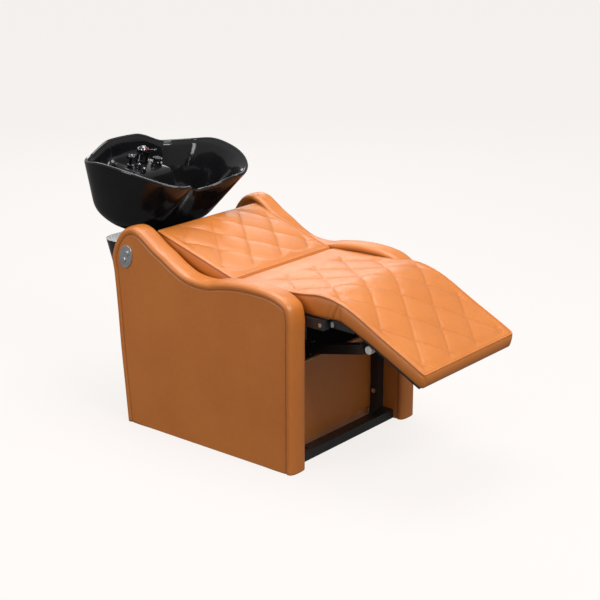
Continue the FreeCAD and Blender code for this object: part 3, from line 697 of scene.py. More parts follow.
# ------------------------------------------------------------------ side panels
@dataclass
class SidePanel:
    """Upholstered side panel: flat faces inside a puffed band that runs round its edge.

    Sizes are millimetres from the panel's front foot: y to the rear, z up.
    """

    side: Side
    front_y: float
    middle_x: float
    half_thickness: float = 35.0
    outline: tuple[tuple[float, float], ...] = (
        (0, 0), (0, 160), (0, 320), (0, 430), (0, 480), (12, 526), (45, 549), (97, 562), (200, 565),
        (290, 554), (340, 543), (417, 547), (470, 568), (518, 596), (556, 616), (594, 642),
        (622, 658), (652, 664), (688, 653), (716, 627), (738, 590), (750, 548), (744, 505),
        (734, 388), (726, 258), (714, 120), (704, 0),
    )
    seam_inset: float = 25.0
    step: float = 4.5
    spine_front: float = 130.0
    spine_rear: float = 580.0
    # front, rear and top of the painted interior shade on the inner face
    inner_shade_box: tuple[float, float, float] = (118.0, 672.0, 478.0)

    def band_section(self) -> list[tuple[float, float]]:
        """Half of the band, from the stitched join on the face to the middle of the edge.

        Returns:
            Rows of inset from the outline and half thickness.
        """
        h = self.half_thickness
        d = self.seam_inset
        return [
            (d + 9, h - 0.6), (d + 4, h - 0.7), (d + 1.6, h - 1.5), (d, h - 3.0),
            (d - 1.6, h - 1.2), (d - 4.5, h + 0.5), (d - 9, h + 1.4), (d - 14, h + 0.7),
            (d - 18.5, h - 2.2),
            (d - 21.6, h - 7.5), (d - 23.6, h - 14), (d - 24.6, h - 23), (0.0, 0.0),
        ]

    def columns(self) -> tuple[np.ndarray, np.ndarray]:
        """Points along the outline and their inward directions.

        Returns:
            Both as arrays of (y, z) rows.
        """
        line = smooth_line(list(self.outline), self.step)
        ahead = np.gradient(line, axis=0)
        ahead /= np.linalg.norm(ahead, axis=1)[:, None]
        inward = np.column_stack([ahead[:, 1], -ahead[:, 0]])
        for _ in range(6):
            inward[1:-1] = (inward[:-2] + 2 * inward[1:-1] + inward[2:]) / 4
        inward /= np.linalg.norm(inward, axis=1)[:, None]
        inward[0] = inward[1] = (1.0, 0.0)
        inward[-1] = (-1.0, 0.0)
        return line, inward

    def place(self, y: float, z: float, x: float) -> Vector:
        """Put a panel point, x from the panel's middle outwards, into the unit."""
        return Vector((self.middle_x + self.side.value * x * MM, self.front_y + y * MM, z * MM))

    def build(self) -> list[bpy.types.Object]:
        """Build the cover and its stitching.

        Returns:
            The cover, then the stitching.
        """
        label = self.side.name.lower()
        line, inward = self.columns()
        spine = np.linspace(self.spine_front, self.spine_rear, len(line))
        section = smooth_line(self.band_section(), 1.7)
        inner_rows = 12
        rings = []
        shades = []
        seam_runs: dict[int, list[tuple[Vector, Vector]]] = {-1: [], 1: []}
        for (y, z), (ny, nz), foot in zip(line, inward, spine):
            half_ring = []
            first_y = y + ny * section[0][0]
            first_z = max(z + nz * section[0][0], 0.0)
            shares = [(k / inner_rows) ** 1.25 for k in range(1, inner_rows)] + [0.985, 0.996, 1.0]
            for share in reversed(shares):
                py = first_y + (foot - first_y) * share
                pz = first_z * (1 - share)
                swell = 1.1 * math.sin(math.pi * min(share * 1.4, 1.0))
                half_ring.append((py, pz, self.half_thickness - 0.6 + swell, 0.0))
            for inset, half in section:
                near = bell(inset - self.seam_inset, 9.0)
                pucker = 0.55 * near * noise.noise(Vector((y * 0.06, z * 0.06, self.side.value)))
                on_face = half > self.half_thickness - 12
                # painted shade in the sewn groove on both faces
                dark = bell(inset - self.seam_inset, 1.5) if on_face else 0.0
                half_ring.append((y + ny * inset, max(z + nz * inset, 0.0), half + pucker, dark))
            ring = [(self.place(a, b, -c), d) for a, b, c, d in half_ring[:-1]]
            ring += [(self.place(a, b, c), d) for a, b, c, d in reversed(half_ring)]
            rings.append([point for point, _ in ring])
            shades.extend(shade for _, shade in ring)
            for face in (-1, 1):
                inset = self.seam_inset - 4.0
                proud = self.half_thickness + 0.75
                spot = self.place(y + ny * inset, z + nz * inset, face * proud)
                seam_runs[face].append((spot, Vector((face * self.side.value, 0.0, 0.0))))
        cover = self._closed_cover(f"{label}_side_cover", rings, shades)
        thread = stitches(f"{label}_side_stitching", [run[2:-2] for run in seam_runs.values()])
        return [cover, thread]

    def paint_inner_shade(self, cover: bpy.types.Object) -> None:
        """Paint the inner face black as painted shade, behind the kick panel and below the pads.

        Args:
            cover: The finished cover, whose second material is the painted shade.
        """
        front, rear, top = self.inner_shade_box
        for face in cover.data.polygons:
            y = (face.center.y - self.front_y) / MM
            inward = (self.middle_x - face.center.x) * self.side.value / MM
            if inward > self.half_thickness - 4 and front < y < rear and face.center.z / MM < top:
                face.material_index = 1

    def _closed_cover(
        self, name: str, rings: list[list[Vector]], shades: list[float]
    ) -> bpy.types.Object:
        """Skin the panel and close its underside between the two faces.

        Args:
            name: Name of the piece.
            rings: Sections from the inner spine over the edge to the outer spine.
            shades: Painted shade at the seams for every ring point.

        Returns:
            The closed cover.
        """
        mesh = bmesh.new()
        rows = shaded_rows(mesh, rings, shades)
        bridge(mesh, rows)
        size = len(rings[0])
        for row in (rows[0], rows[-1]):
            for i in range(size // 2):
                j = size - 1 - i
                if j - i > 2:
                    mesh.faces.new((row[i], row[i + 1], row[j - 1], row[j]))
                elif j - i == 2:
                    mesh.faces.new((row[i], row[i + 1], row[j]))
        return finish_mesh(name, mesh)


# ------------------------------------------------------------------ quilted pads
@dataclass
class Quilt:
    """Diamond quilting sewn through a pad: sizes in millimetres."""

    across: float = 135.0
    along: float = 164.0
    phase: float = 0.0
    start: float = 60.0
    end: float = 700.0
    border: float = 16.0
    half_width: float = 237.0
    depth: float = 6.0

    def gaps(self, x: float, s: float) -> tuple[float, float]:
        """Distance of a point from the nearest sewn line of each family.

        Args:
            x: Across the pad from its middle.
            s: Along the pad.

        Returns:
            Both distances.
        """
        scale = 1.0 / math.hypot(1.0 / self.across, 1.0 / self.along)
        first = x / self.across + (s - self.phase) / self.along
        second = x / self.across - (s - self.phase) / self.along
        return abs(first - round(first)) * scale, abs(second - round(second)) * scale

    def share(self, x: float, s: float) -> float:
        """How much of the quilting is felt at a point.

        Args:
            x: Across the pad from its middle.
            s: Along the pad.

        Returns:
            From 0 in the border to 1.
        """
        edge = soft_step(0.0, 14.0, self.half_width - self.border - abs(x))
        rear = soft_step(-22.0, 22.0, s - self.start)
        front = soft_step(-10.0, 14.0, self.end - s)
        return edge * rear * front

    def height(self, x: float, s: float) -> tuple[float, float]:
        """Height of the quilted surface and the painted shade in its channels.

        Args:
            x: Across the pad from its middle.
            s: Along the pad.

        Returns:
            Height in millimetres, up to 0 at the top of a pillow, and painted shade in the channels
            from 0 to 1.
        """
        a, b = self.gaps(x, s)
        near = min(a, b)
        share = self.share(x, s)
        cut = 0.36 * bell(near, 3.0) + 0.46 * (bell(a, 19.0) + bell(b, 19.0))
        # second value: painted shade along the sewn channels
        return -self.depth * share * min(cut, 1.15), 0.45 * share * bell(near, 2.0)

    def runs(self, length: float) -> list[list[tuple[float, float]]]:
        """Sewn lines of the quilting as (x, s) points.

        Args:
            length: Length of the pad.

        Returns:
            One list of points for each unbroken line.
        """
        lines = []
        reach = int(length / self.along) + 4
        for slope in (1.0, -1.0):
            for index in range(-reach, reach + 1):
                run: list[tuple[float, float]] = []
                for x in np.arange(-self.half_width, self.half_width + 1, 4.0):
                    s = self.phase + slope * self.along * (index - x / self.across)
                    if self.share(x, s) > 0.6:
                        run.append((float(x), float(s)))
                if len(run) > 3:
                    lines.append(run)
        return lines


@dataclass
class Pad:
    """Boxed and piped pad that follows a top line and an underside line.

    Lines are (y, z) in millimetres from the panel's front foot, from the rear of the pad forward.
    """

    name: str
    top: np.ndarray
    under: np.ndarray
    front_y: float
    quilt: Quilt
    half_width: float = 237.0
    edge_radius: float = 9.0
    crown: float = 5.0
    column_step: float = 4.6
    creases: tuple[float, ...] = ()
    ends_round: tuple[float, float] = (8.0, 10.0)

    def lengths(self) -> np.ndarray:
        """Distance along the top line of each of its points."""
        gaps = np.linalg.norm(np.diff(self.top, axis=0), axis=1)
        return np.concatenate([[0.0], np.cumsum(gaps)])

    def section(self, s: float, total: float) -> list[tuple[float, float, float, float]]:
        """Closed section of the pad at one station.

        Args:
            s: Distance of the station along the pad.
            total: Length of the pad.

        Returns:
            Points as (x, share of the thickness, lift along the normal, painted shade), clockwise.
        """
        half = self.half_width
        r = self.edge_radius
        count = int((half - r) / self.column_step)
        top = []
        for x in np.linspace(0.0, half - r, count + 1):
            lift, dark = self.quilt.height(float(x), s)
            lift_b, dark_b = self.quilt.height(-float(x), s)
            dome = self.crown * (1 - (x / half) ** 2) * self._end_share(s, total)
            top.append((float(x), dome + lift, dome + lift_b, dark, dark_b))
        right = [(x, 0.0, up, dark) for x, up, _, dark, _ in top]
        left = [(-x, 0.0, up, dark) for x, _, up, _, dark in top[1:]]
        # last column: painted shade under the piping and along the bottom edge
        side = [
            (half - r * 0.55, 0.012, -0.6, 0.0), (half - r * 0.18, 0.04, 0.0, 0.15),
            (half - 1.6, 0.085, 0.0, 0.9), (half + 0.4, 0.15, 0.0, 0.1),
            (half + 1.9, 0.3, 0.0, 0.0), (half + 2.4, 0.5, 0.0, 0.0), (half + 1.7, 0.7, 0.0, 0.0),
            (half, 0.86, 0.0, 0.0), (half - 3.0, 0.96, 0.0, 0.1), (half - 8.0, 1.0, 0.0, 0.3),
            (half - 30.0, 1.0, 0.0, 0.0), (half * 0.45, 1.0, 0.0, 0.0),
        ]
        mirrored = [(-x, share, up, dark) for x, share, up, dark in reversed(side)]
        return right + side + [(0.0, 1.0, 0.0, 0.0)] + mirrored + list(reversed(left))

    def _end_share(self, s: float, total: float) -> float:
        """Crown of the pad fades towards its two ends."""
        return soft_step(0.0, 55.0, s) * soft_step(0.0, 45.0, total - s)

    def build(self) -> list[bpy.types.Object]:
        """Build the pad, its piping and its quilting thread.

        Returns:
            The pad, the piping and the thread.
        """
        lengths = self.lengths()
        total = float(lengths[-1])
        down = self.under - self.top
        rings = []
        shades = []
        rear_r, front_r = self.ends_round
        for i, s in enumerate(lengths):
            depth = float(np.linalg.norm(down[i]))
            normal = -down[i] / depth
            pull = 0.0
            for edge, radius in ((s, rear_r), (total - s, front_r)):
                if edge < radius:
                    reach = math.sqrt(max(radius ** 2 - (radius - edge) ** 2, 0.0))
                    pull = max(pull, radius - reach)
            ring = []
            for x, share, up, dark in self.section(float(s), total):
                fold, shade = self._crease(x, share, float(s))
                wide = x * (1 - (pull + fold) / self.half_width)
                sink = depth * share * (1 - 2 * pull / depth) + pull
                y, z = self.top[i] + normal * (up - sink)
                ring.append(Vector((wide * MM, self.front_y + y * MM, z * MM)))
                # painted shade: channel, piping edge or fold, whichever is darker
                shades.append(max(dark, shade))
            rings.append(ring)
        pad = self._skin(rings, shades)
        return [pad, self._piping(rings), self._thread(lengths)]

    def _crease(self, x: float, share: float, s: float) -> tuple[float, float]:
        """Folds that the boxing takes where the pad bends.

        Args:
            x: Across the pad.
            share: Share of the thickness below the top.
            s: Along the pad.

        Returns:
            How far the side is pulled in, and the painted shade in the fold.
        """
        if abs(x) < self.half_width - 4 or not self.creases:
            return 0.0, 0.0
        depth = 0.0
        for number, spot in enumerate(self.creases):
            lean = (share - 0.5) * (16.0 if number % 2 else -12.0)
            depth = max(depth, bell(s - spot - lean, 5.0) * (1.0 - 0.25 * number))
        # second value: painted shade in the fold
        return 4.2 * depth * soft_step(0.05, 0.4, share), 0.8 * depth ** 3

    def _skin(self, rings: list[list[Vector]], shades: list[float]) -> bpy.types.Object:
        """Skin the rings and close both ends with tapering loops.

        Args:
            rings: Sections of the pad.
            shades: Painted shade of every ring point.

        Returns:
            The closed pad.
        """
        mesh = bmesh.new()
        rows = shaded_rows(mesh, rings, shades)
        bridge(mesh, rows)
        for row in (rows[0], rows[-1]):
            self._end_cap(mesh, row)
        return finish_mesh(self.name, mesh)

    @staticmethod
    def _end_cap(mesh: bmesh.types.BMesh, row: list[bmesh.types.BMVert]) -> None:
        """Close an end ring by joining its top half to its underside half.

        Args:
            mesh: Mesh of the pad.
            row: Vertices of the end ring.
        """
        size = len(row)
        above = below = max(range(size), key=lambda i: row[i].co.x)
        while True:
            next_above = (above - 1) % size
            next_below = (below + 1) % size
            last = next_above == next_below
            if last or row[next_above].co.x >= row[next_below].co.x:
                if above != below:
                    mesh.faces.new((row[above], row[next_above], row[below]))
                above = next_above
            else:
                if above != below:
                    mesh.faces.new((row[above], row[below], row[next_below]))
                below = next_below
            if last:
                return

    def _piping(self, rings: list[list[Vector]]) -> bpy.types.Object:
        """Welted cord sewn into the upper edge, along both sides and round the front end.

        Args:
            rings: Sections of the pad.

        Returns:
            The piping.
        """
        size = len(rings[0])
        top_count = int((self.half_width - self.edge_radius) / self.column_step) + 1
        right = top_count + 1
        left = size - (top_count - 1) - 2
        line = [ring[right] for ring in rings[2:-1]]
        front = rings[-3]
        run = [front[i] for i in range(right, -1, -1)]
        run += [front[i] for i in range(size - 1, left - 1, -1)]
        ahead = (rings[-1][0] - rings[-6][0]).normalized() * (self.ends_round[1] * 0.45 * MM)
        line += [point + ahead for point in run[3:-3:4]]
        line += [ring[left] for ring in reversed(rings[2:-1])]
        smooth = evenly(np.array([list(p) for p in line]), 5.0 * MM)
        for _ in range(3):
            smooth[1:-1] = (smooth[:-2] + 2 * smooth[1:-1] + smooth[2:]) / 4
        return tube_along(f"{self.name}_piping", [Vector(p) for p in smooth], 3.0 * MM)

    def _thread(self, lengths: np.ndarray) -> bpy.types.Object:
        """Stitches that show in the bottom of the quilted channels.

        Args:
            lengths: Distance along the pad of each station.

        Returns:
            The thread.
        """
        total = float(lengths[-1])
        down = self.under - self.top
        normals = -down / np.linalg.norm(down, axis=1)[:, None]
        runs = []
        for run in self.quilt.runs(total):
            laid = []
            for x, s in run:
                y, z = (float(np.interp(s, lengths, self.top[:, c])) for c in range(2))
                n = Vector((0.0, *(float(np.interp(s, lengths, normals[:, c])) for c in range(2))))
                dome = self.crown * (1 - (x / self.half_width) ** 2) * self._end_share(s, total)
                up = dome + self.quilt.height(x, s)[0]
                spot = Vector((x, y, z)) + n * up
                laid.append((Vector((spot.x * MM, self.front_y + spot.y * MM, spot.z * MM)), n))
            runs.append(laid)
        return stitches(f"{self.name}_quilting", runs)


@dataclass
class Lounge:
    """Seat with its leg rest, and the back, all in the same leather."""

    front_y: float
    fold: tuple[float, float] = (290.0, 540.0)
    seat_line: tuple[tuple[float, float], ...] = (
        (289, 540), (230, 541), (150, 543), (90, 545), (40, 548), (0, 553), (-30, 557), (-62, 556),
        (-95, 550), (-136, 537), (-182, 516), (-233, 488), (-278, 464), (-334, 436), (-378, 413),
        (-400, 401), (-413, 393),
    )
    seat_under: tuple[tuple[float, float], ...] = (
        (304, 487), (240, 485), (150, 485), (90, 485), (40, 485), (0, 485), (-40, 486), (-75, 488),
        (-105, 489), (-140, 478), (-180, 460), (-225, 440), (-265, 419), (-312, 395), (-362, 369),
        (-393, 353), (-404, 349),
    )
    back_length: float = 352.0
    back_slope: float = 17.16
    back_depth: float = 54.0

    def seat(self) -> Pad:
        """Pad that runs from the fold over the knee to the foot end.

        Returns:
            The pad, ready to build.
        """
        top = smooth_line(list(self.seat_line), 4.2)
        under = smooth_line(list(self.seat_under), 4.2)
        share = np.linspace(0.0, 1.0, len(top))
        old = np.linspace(0.0, 1.0, len(under))
        under = np.column_stack([np.interp(share, old, under[:, c]) for c in range(2)])
        quilt = Quilt(phase=290.0, start=92.0, end=725.0)
        return Pad(
            "seat_and_leg_pad", top, under, self.front_y, quilt,
            creases=(392.0, 410.0, 372.0), ends_round=(3.0, 10.0),
        )

    def back(self) -> Pad:
        """Pad that leans up from the fold to the basin.

        Returns:
            The pad, ready to build.
        """
        turn = math.radians(self.back_slope)
        ahead = np.array([math.cos(turn), math.sin(turn)])
        out = np.array([-math.sin(turn), math.cos(turn)])
        reach = np.linspace(self.back_length, 1.0, int(self.back_length / 4.2))
        top = np.array([np.array(self.fold) + ahead * s for s in reach])
        under = top - out * self.back_depth
        quilt = Quilt(phase=self.back_length - 6.0, start=30.0, end=318.0)
        return Pad("back_pad", top, under, self.front_y, quilt, ends_round=(11.0, 3.0), crown=6.0)


@dataclass
class KickPanel:
    """Leather panel that closes the front of the frame below the seat."""

    low: Vector
    high: Vector
    puff: float = 3.0
    floor_gap: float = 3.0
    tube_top: float = 31.0
    foot_half: float = 216.5
    columns: int = 60
    rows: int = 34

    def _half_width(self, z: float) -> float:
        """Half the panel's width at height z; the foot passes between the floor bars."""
        full = (self.high.x - self.low.x) / 2
        return min(full, self.foot_half * MM) if z / MM < self.tube_top else full

    def _levels(self) -> list[float]:
        """Heights of the rows from foot to top, with two close together at the floor bars.

        Returns:
            Heights in metres.
        """
        tall = self.high.z - self.low.z
        even = [self.low.z + tall * j / self.rows for j in range(self.rows + 1)]
        step = self.tube_top * MM
        if self.low.z > step:
            return even
        near = [step - 0.0001, step + 0.0001]
        return sorted([z for z in even if abs(z - step) > 0.004] + near)

    def build(self) -> bpy.types.Object:
        """Build the panel as a softly crowned slab with pulled-in edges.

        Returns:
            The panel.
        """
        depth = self.high.y - self.low.y
        rings = []
        middle = (self.low.x + self.high.x) / 2
        for z in self._levels():
            v = (z - self.low.z) / (self.high.z - self.low.z)
            half = self._half_width(z)
            ring = []
            for face in (0, 1):
                order = range(self.columns + 1)
                for i in order if face == 0 else reversed(order):
                    u = i / self.columns
                    edge = min(u, 1 - u) * 2 * half / MM
                    rise = min(v, 1 - v) * (self.high.z - self.low.z) / MM
                    round_off = 1 - soft_step(0.0, 7.0, min(edge, rise))
                    crown = self.puff * soft_step(0.0, 60.0, edge) * soft_step(0.0, 45.0, rise)
                    ripple = 0.8 * noise.noise(Vector((u * 7.0, v * 4.0, 2.0)))
                    x = middle + (2 * u - 1) * half
                    front = self.low.y + (round_off * 3.0 + 2.0 - crown - ripple) * MM
                    rear = self.low.y + depth - 0.3 * MM
                    ring.append(Vector((x, front if face == 0 else rear, z)))
            rings.append(ring)
        mesh = bmesh.new()
        rows = [[mesh.verts.new(p) for p in ring] for ring in rings]
        bridge(mesh, rows)
        size = len(rings[0])
        for row in (rows[0], rows[-1]):
            for i in range(self.columns):
                mesh.faces.new((row[i], row[i + 1], row[size - 2 - i], row[size - 1 - i]))
        return finish_mesh("kick_panel_leather", mesh)


# ------------------------------------------------------------------ basin
# Rows of the skin: shares of the height up the outside and down the inside, closer together
# where the wall turns, and then shares of the way from the wall's foot to the waste.
OUTER_LEVELS = (
    0.0, 0.006, 0.02, 0.045, 0.08, 0.12, 0.17, 0.24, 0.33, 0.43, 0.54, 0.65, 0.76, 0.86, 0.93,
)
INNER_LEVELS = (
    0.94, 0.88, 0.8, 0.71, 0.62, 0.53, 0.45, 0.37, 0.3, 0.24, 0.19, 0.145, 0.11, 0.08, 0.055,
    0.035, 0.018, 0.006, 0.0,
)
FLOOR_SHARES = (
    0.93, 0.86, 0.79, 0.72, 0.65, 0.58, 0.51, 0.44, 0.37, 0.3, 0.23, 0.16, 0.1, 0.05, 0.0,
)


@dataclass
class Basin:
    """Black ceramic shampoo basin with a neck notch, a tap deck and a waste hole.

    Sizes are millimetres in the basin's own level axes, before it is tilted.
    """

    pivot: Vector
    pivot_y: float = -17.0
    pivot_z: float = -74.0
    tilt: float = 15.0
    bottom: float = -45.0
    wall: float = 13.0
    floor: float = 16.0
    base: tuple[float, float, float] = (155.0, 92.0, 12.0)
    rim: tuple[tuple[float, float], ...] = (
        (0, -208), (66, -216), (138, -228), (198, -190), (242, -120), (267, -38), (276, 48),
        (261, 126), (196, 194), (94, 214), (0, 222),
    )
    rim_profile: tuple[tuple[float, float], ...] = (
        (-330, 186), (-230, 190), (-187, 198), (-120, 205), (-38, 202), (44, 189), (117, 160),
        (160, 145), (190, 138), (330, 134),
    )
    notch_radius: float = 140.0
    notch_low: float = 145.0
    notch_corner: float = 22.0
    lobe_high: float = 171.0
    lobe_half: float = 74.0
    lobe_foot: float = 190.0
    rear_rim: float = 136.0
    middle: float = 60.0
    reference_rim: float = 190.0
    deck: tuple[float, float, float] = (92.0, 30.0, 115.0)
    drain_y: float = -42.0
    drain_r: float = 22.0
    columns: int = 176

    def place(self, x: float, y: float, z: float) -> Vector:
        """Put a point of the level basin axes into the tilted basin.

        Args:
            x: Across the basin.
            y: Along the basin, to the rear.
            z: Up.

        Returns:
            The point in metres, in the unit.
        """
        turn = math.radians(self.tilt)
        dy, dz = y - self.pivot_y, z - self.pivot_z
        return self.pivot + Vector((
            x, dy * math.cos(turn) - dz * math.sin(turn), dy * math.sin(turn) + dz * math.cos(turn),
        )) * MM

    def rim_points(self) -> np.ndarray:
        """Plan of the rim, all the way round.

        Returns:
            Rows of (x, y, angle), numbered evenly by angle.
        """
        half = [(x, y, math.pi * i / (len(self.rim) - 1)) for i, (x, y) in enumerate(self.rim)]
        other = [(-x, y, 2 * math.pi - a) for x, y, a in reversed(half[1:-1])]
        return np.array(half + other)

    def plan(self, samples: int) -> np.ndarray:
        """Smooth closed plan of the rim.

        Args:
            samples: Number of points round the basin.

        Returns:
            Rows of (x, y, angle).
        """
        points = self.rim_points()
        count = len(points)
        rows = []
        for k in range(samples):
            spot = k * count / samples
            i = int(spot)
            t = spot - i
            p0, p1, p2, p3 = (points[(i + d) % count, :2] for d in (-1, 0, 1, 2))
            xy = 0.5 * (2 * p1 + (p2 - p0) * t + (2 * p0 - 5 * p1 + 4 * p2 - p3) * t ** 2
                        + (3 * p1 - p0 - 3 * p2 + p3) * t ** 3)
            rows.append((*xy, 2 * math.pi * spot / count))
        return np.array(rows)

    def point(
        self, rim_x: float, rim_y: float, angle: float, level: float, inset: float
    ) -> tuple[float, float]:
        """Plan position of the wall at one level.

        Args:
            rim_x: Where this column meets the rim.
            rim_y: Where this column meets the rim.
            angle: Angle of the column, from the neck round to the rear.
            level: 0 at the bottom, 1 at the reference rim.
            inset: How far inside the outer wall.

        Returns:
            x and y.
        """
        base_w, base_l, base_y = self.base
        share = min(max(level, 0.0), 0.22) / 0.22
        bulge = math.sqrt(max(1 - (1 - share) ** 2, 0.0))
        fast = 0.17 + 0.27 * (1 - math.cos(angle)) / 2 + 0.08 * abs(math.sin(angle))
        grow = fast * bulge + (1 - fast) * level
        x = base_w * math.sin(angle)
        y = base_y - base_l * math.cos(angle)
        x += (rim_x - x) * grow
        y += (rim_y - y) * grow
        reach = math.hypot(x, y - base_y)
        scale = 1 - inset / reach
        return x * scale, base_y + (y - base_y) * scale

    def rim_height(self, x: float, y: float) -> float:
        """Height of the rim over a plan point, with the neck notch and the rear lobe.

        Args:
            x: Across the basin.
            y: Along the basin.

        Returns:
            Height in the basin's level axes.
        """
        line = self._profile_line()
        height = float(np.interp(y, line[:, 0], line[:, 1]))
        if y > self.middle:
            across = 1 - soft_step(self.lobe_half - 15, self.lobe_foot, abs(x))
            lobe = self.rear_rim + (self.lobe_high - self.rear_rim) * across
            height += max(lobe - height, 0.0) * soft_step(90.0, 150.0, y)
        if y < -self.middle and abs(x) < self.notch_radius:
            curve = self.notch_low + self.notch_radius - math.sqrt(self.notch_radius ** 2 - x * x)
            height = -self._soft_max(-height, -curve, self.notch_corner)
        return height

    def _profile_line(self) -> np.ndarray:
        """Smooth side profile of the rim, made once.

        Returns:
            Rows of (y, z).
        """
        if not hasattr(self, "_line"):
            self._line = smooth_line(list(self.rim_profile), 6.0)
        return self._line

    @staticmethod
    def _soft_max(a: float, b: float, width: float) -> float:
        """Larger of two values with the corner rounded over width."""
        gap = max(width - abs(a - b), 0.0) / width
        return max(a, b) + gap * gap * width * 0.25

    def build(self) -> bpy.types.Object:
        """Build the whole ceramic as one closed skin with a hole for the waste.

        Returns:
            The basin.
        """
        plan = self.plan(self.columns)
        span = self.reference_rim - self.bottom
        rows: list[list[tuple[float, float, float]]] = []
        tops = []
        for x, y, angle in plan:
            level = 0.9
            for _ in range(12):
                px, py = self.point(x, y, angle, level, self.wall / 2)
                level = (self.rim_height(px, py) - self.bottom) / span
            tops.append(level)
        for share in (0.0, 0.35, 0.7, 0.9):
            rows.append([self._floor_point(p, share, 0.0, self.bottom) for p in plan])
        for part in OUTER_LEVELS:
            rows.append([self._wall_point(p, top * part, 0.0, 0.0) for p, top in zip(plan, tops)])
        bead = self.wall / 2
        for turn in range(0, 181, 20):
            a = math.radians(turn)
            out = bead * math.cos(a) + 1.6 * math.sin(a) * (1 if turn < 90 else 0.4)
            up = bead * math.sin(a) * 1.15
            rows.append([
                self._wall_point(p, top - 6.5 / span, bead - out, up) for p, top in zip(plan, tops)
            ])
        first_inner = len(rows)
        for part in INNER_LEVELS:
            row = []
            for p, top in zip(plan, tops):
                level = (top - self.floor / span) * part
                row.append(self._wall_point(p, level, self.wall, self.floor))
            rows.append(row)
        inner_floor = self.bottom + self.floor
        for share in FLOOR_SHARES:
            rows.append([self._floor_point(p, share, self.wall, inner_floor) for p in plan])
        rows = self._raise_deck(rows, first_inner)
        rows.append([self._ring_point(p, self.drain_r + 13, inner_floor - 3.5) for p in plan])
        rows.append([self._ring_point(p, self.drain_r, inner_floor - 4.5) for p in plan])
        rows.append([self._ring_point(p, self.drain_r, self.bottom + 1) for p in plan])
        rings = [[self.place(*point) for point in row] for row in rows]
        basin = skin_rings("black_ceramic_basin", rings, join_ends=True)
        subdivide(basin, 1)
        return basin

    def _wall_point(
        self, column: np.ndarray, level: float, inset: float, lift: float
    ) -> tuple[float, float, float]:
        """Point of the wall of one column."""
        x, y = self.point(column[0], column[1], column[2], level, inset)
        return x, y, self.bottom + level * (self.reference_rim - self.bottom) + lift

    def _ring_point(
        self, column: np.ndarray, radius: float, z: float
    ) -> tuple[float, float, float]:
        """Point of a round ring about the waste, beside one column.

        Args:
            column: Plan row of the column.
            radius: Radius of the ring.
            z: Height of the ring.

        Returns:
            The point, in the basin's level axes.
        """
        base_w, base_l, base_y = self.base
        x = base_w * math.sin(column[2])
        y = base_y - base_l * math.cos(column[2]) - self.drain_y
        reach = math.hypot(x, y)
        return x / reach * radius, self.drain_y + y / reach * radius, z

    def _floor_point(
        self, column: np.ndarray, share: float, inset: float, z: float
    ) -> tuple[float, float, float]:
        """Point between the waste and the foot of the wall.

        Args:
            column: Plan row of the column.
            share: 0 at the waste, 1 at the foot of the wall.
            inset: How far inside the outer wall.
            z: Height of the point.

        Returns:
            The point, in the basin's level axes.
        """
        outer = self._wall_point(column, 0.0, inset, 0.0)
        radius = self.drain_r + (14 if inset else 0)
        ring = self._ring_point(column, radius, z)
        return (
            ring[0] + (outer[0] - ring[0]) * share, ring[1] + (outer[1] - ring[1]) * share, z,
        )

    def _deck_height(self, x: float, y: float) -> float:
        """Height of the tap deck over a plan point; far below the floor outside it.

        Args:
            x: Across the basin.
            y: Along the basin.

        Returns:
            Height in the basin's level axes.
        """
        half, front, top = self.deck
        slope_front = top - max(front - y, 0.0) * 3.6
        slope_side = top - max(abs(x) - half + 4, 0.0) * 3.6
        return -self._soft_max(-slope_front, -slope_side, 14.0)

    def _raise_deck(
        self, rows: list[list[tuple[float, float, float]]], first: int
    ) -> list[list[tuple[float, float, float]]]:
        """Lift the inner skin over the tap deck and relax it where the two meet.

        Args:
            rows: All rows of the skin so far.
            first: Number of the first inner row.

        Returns:
            The rows with the deck moulded in.
        """
        inner = np.array(rows[first:])
        flat = inner.copy()
        for r in range(inner.shape[0]):
            for c in range(inner.shape[1]):
                x, y, z = inner[r, c]
                flat[r, c, 2] = self._soft_max(z, min(self._deck_height(x, y), self.deck[2]), 12.0)
        moved = np.abs(flat[:, :, 2] - inner[:, :, 2]) > 0.05
        for _ in range(8):
            relaxed = flat.copy()
            beside = np.roll(flat, 1, axis=1) + np.roll(flat, -1, axis=1)
            around = beside[1:-1] + flat[:-2] + flat[2:]
            relaxed[1:-1] = flat[1:-1] * 0.5 + around * 0.125
            near = moved[1:-1] & (np.abs(flat[1:-1, :, 2] - self.deck[2]) > 0.4)
            flat[1:-1][near] = relaxed[1:-1][near]
        return rows[:first] + [[tuple(point) for point in row] for row in flat]


# ------------------------------------------------------------------ studio
@dataclass(frozen=True)
class Softbox:
    """One rectangular softbox; places and sizes are in metres, power in watts."""

    name: str
    place: tuple[float, float, float]
    aim: tuple[float, float, float]
    size: tuple[float, float]
    power: float

    def hang(self) -> None:
        """Hang the softbox in its place, facing its aim."""
        data = bpy.data.lights.new(self.name, "AREA")
        data.shape = "RECTANGLE"
        data.size, data.size_y = self.size
        data.energy = self.power
        light = bpy.data.objects.new(self.name, data)
        light.location = self.place
        facing = Vector(self.aim) - Vector(self.place)
        light.rotation_euler = facing.to_track_quat("-Z", "Y").to_euler()
        bpy.context.scene.collection.objects.link(light)


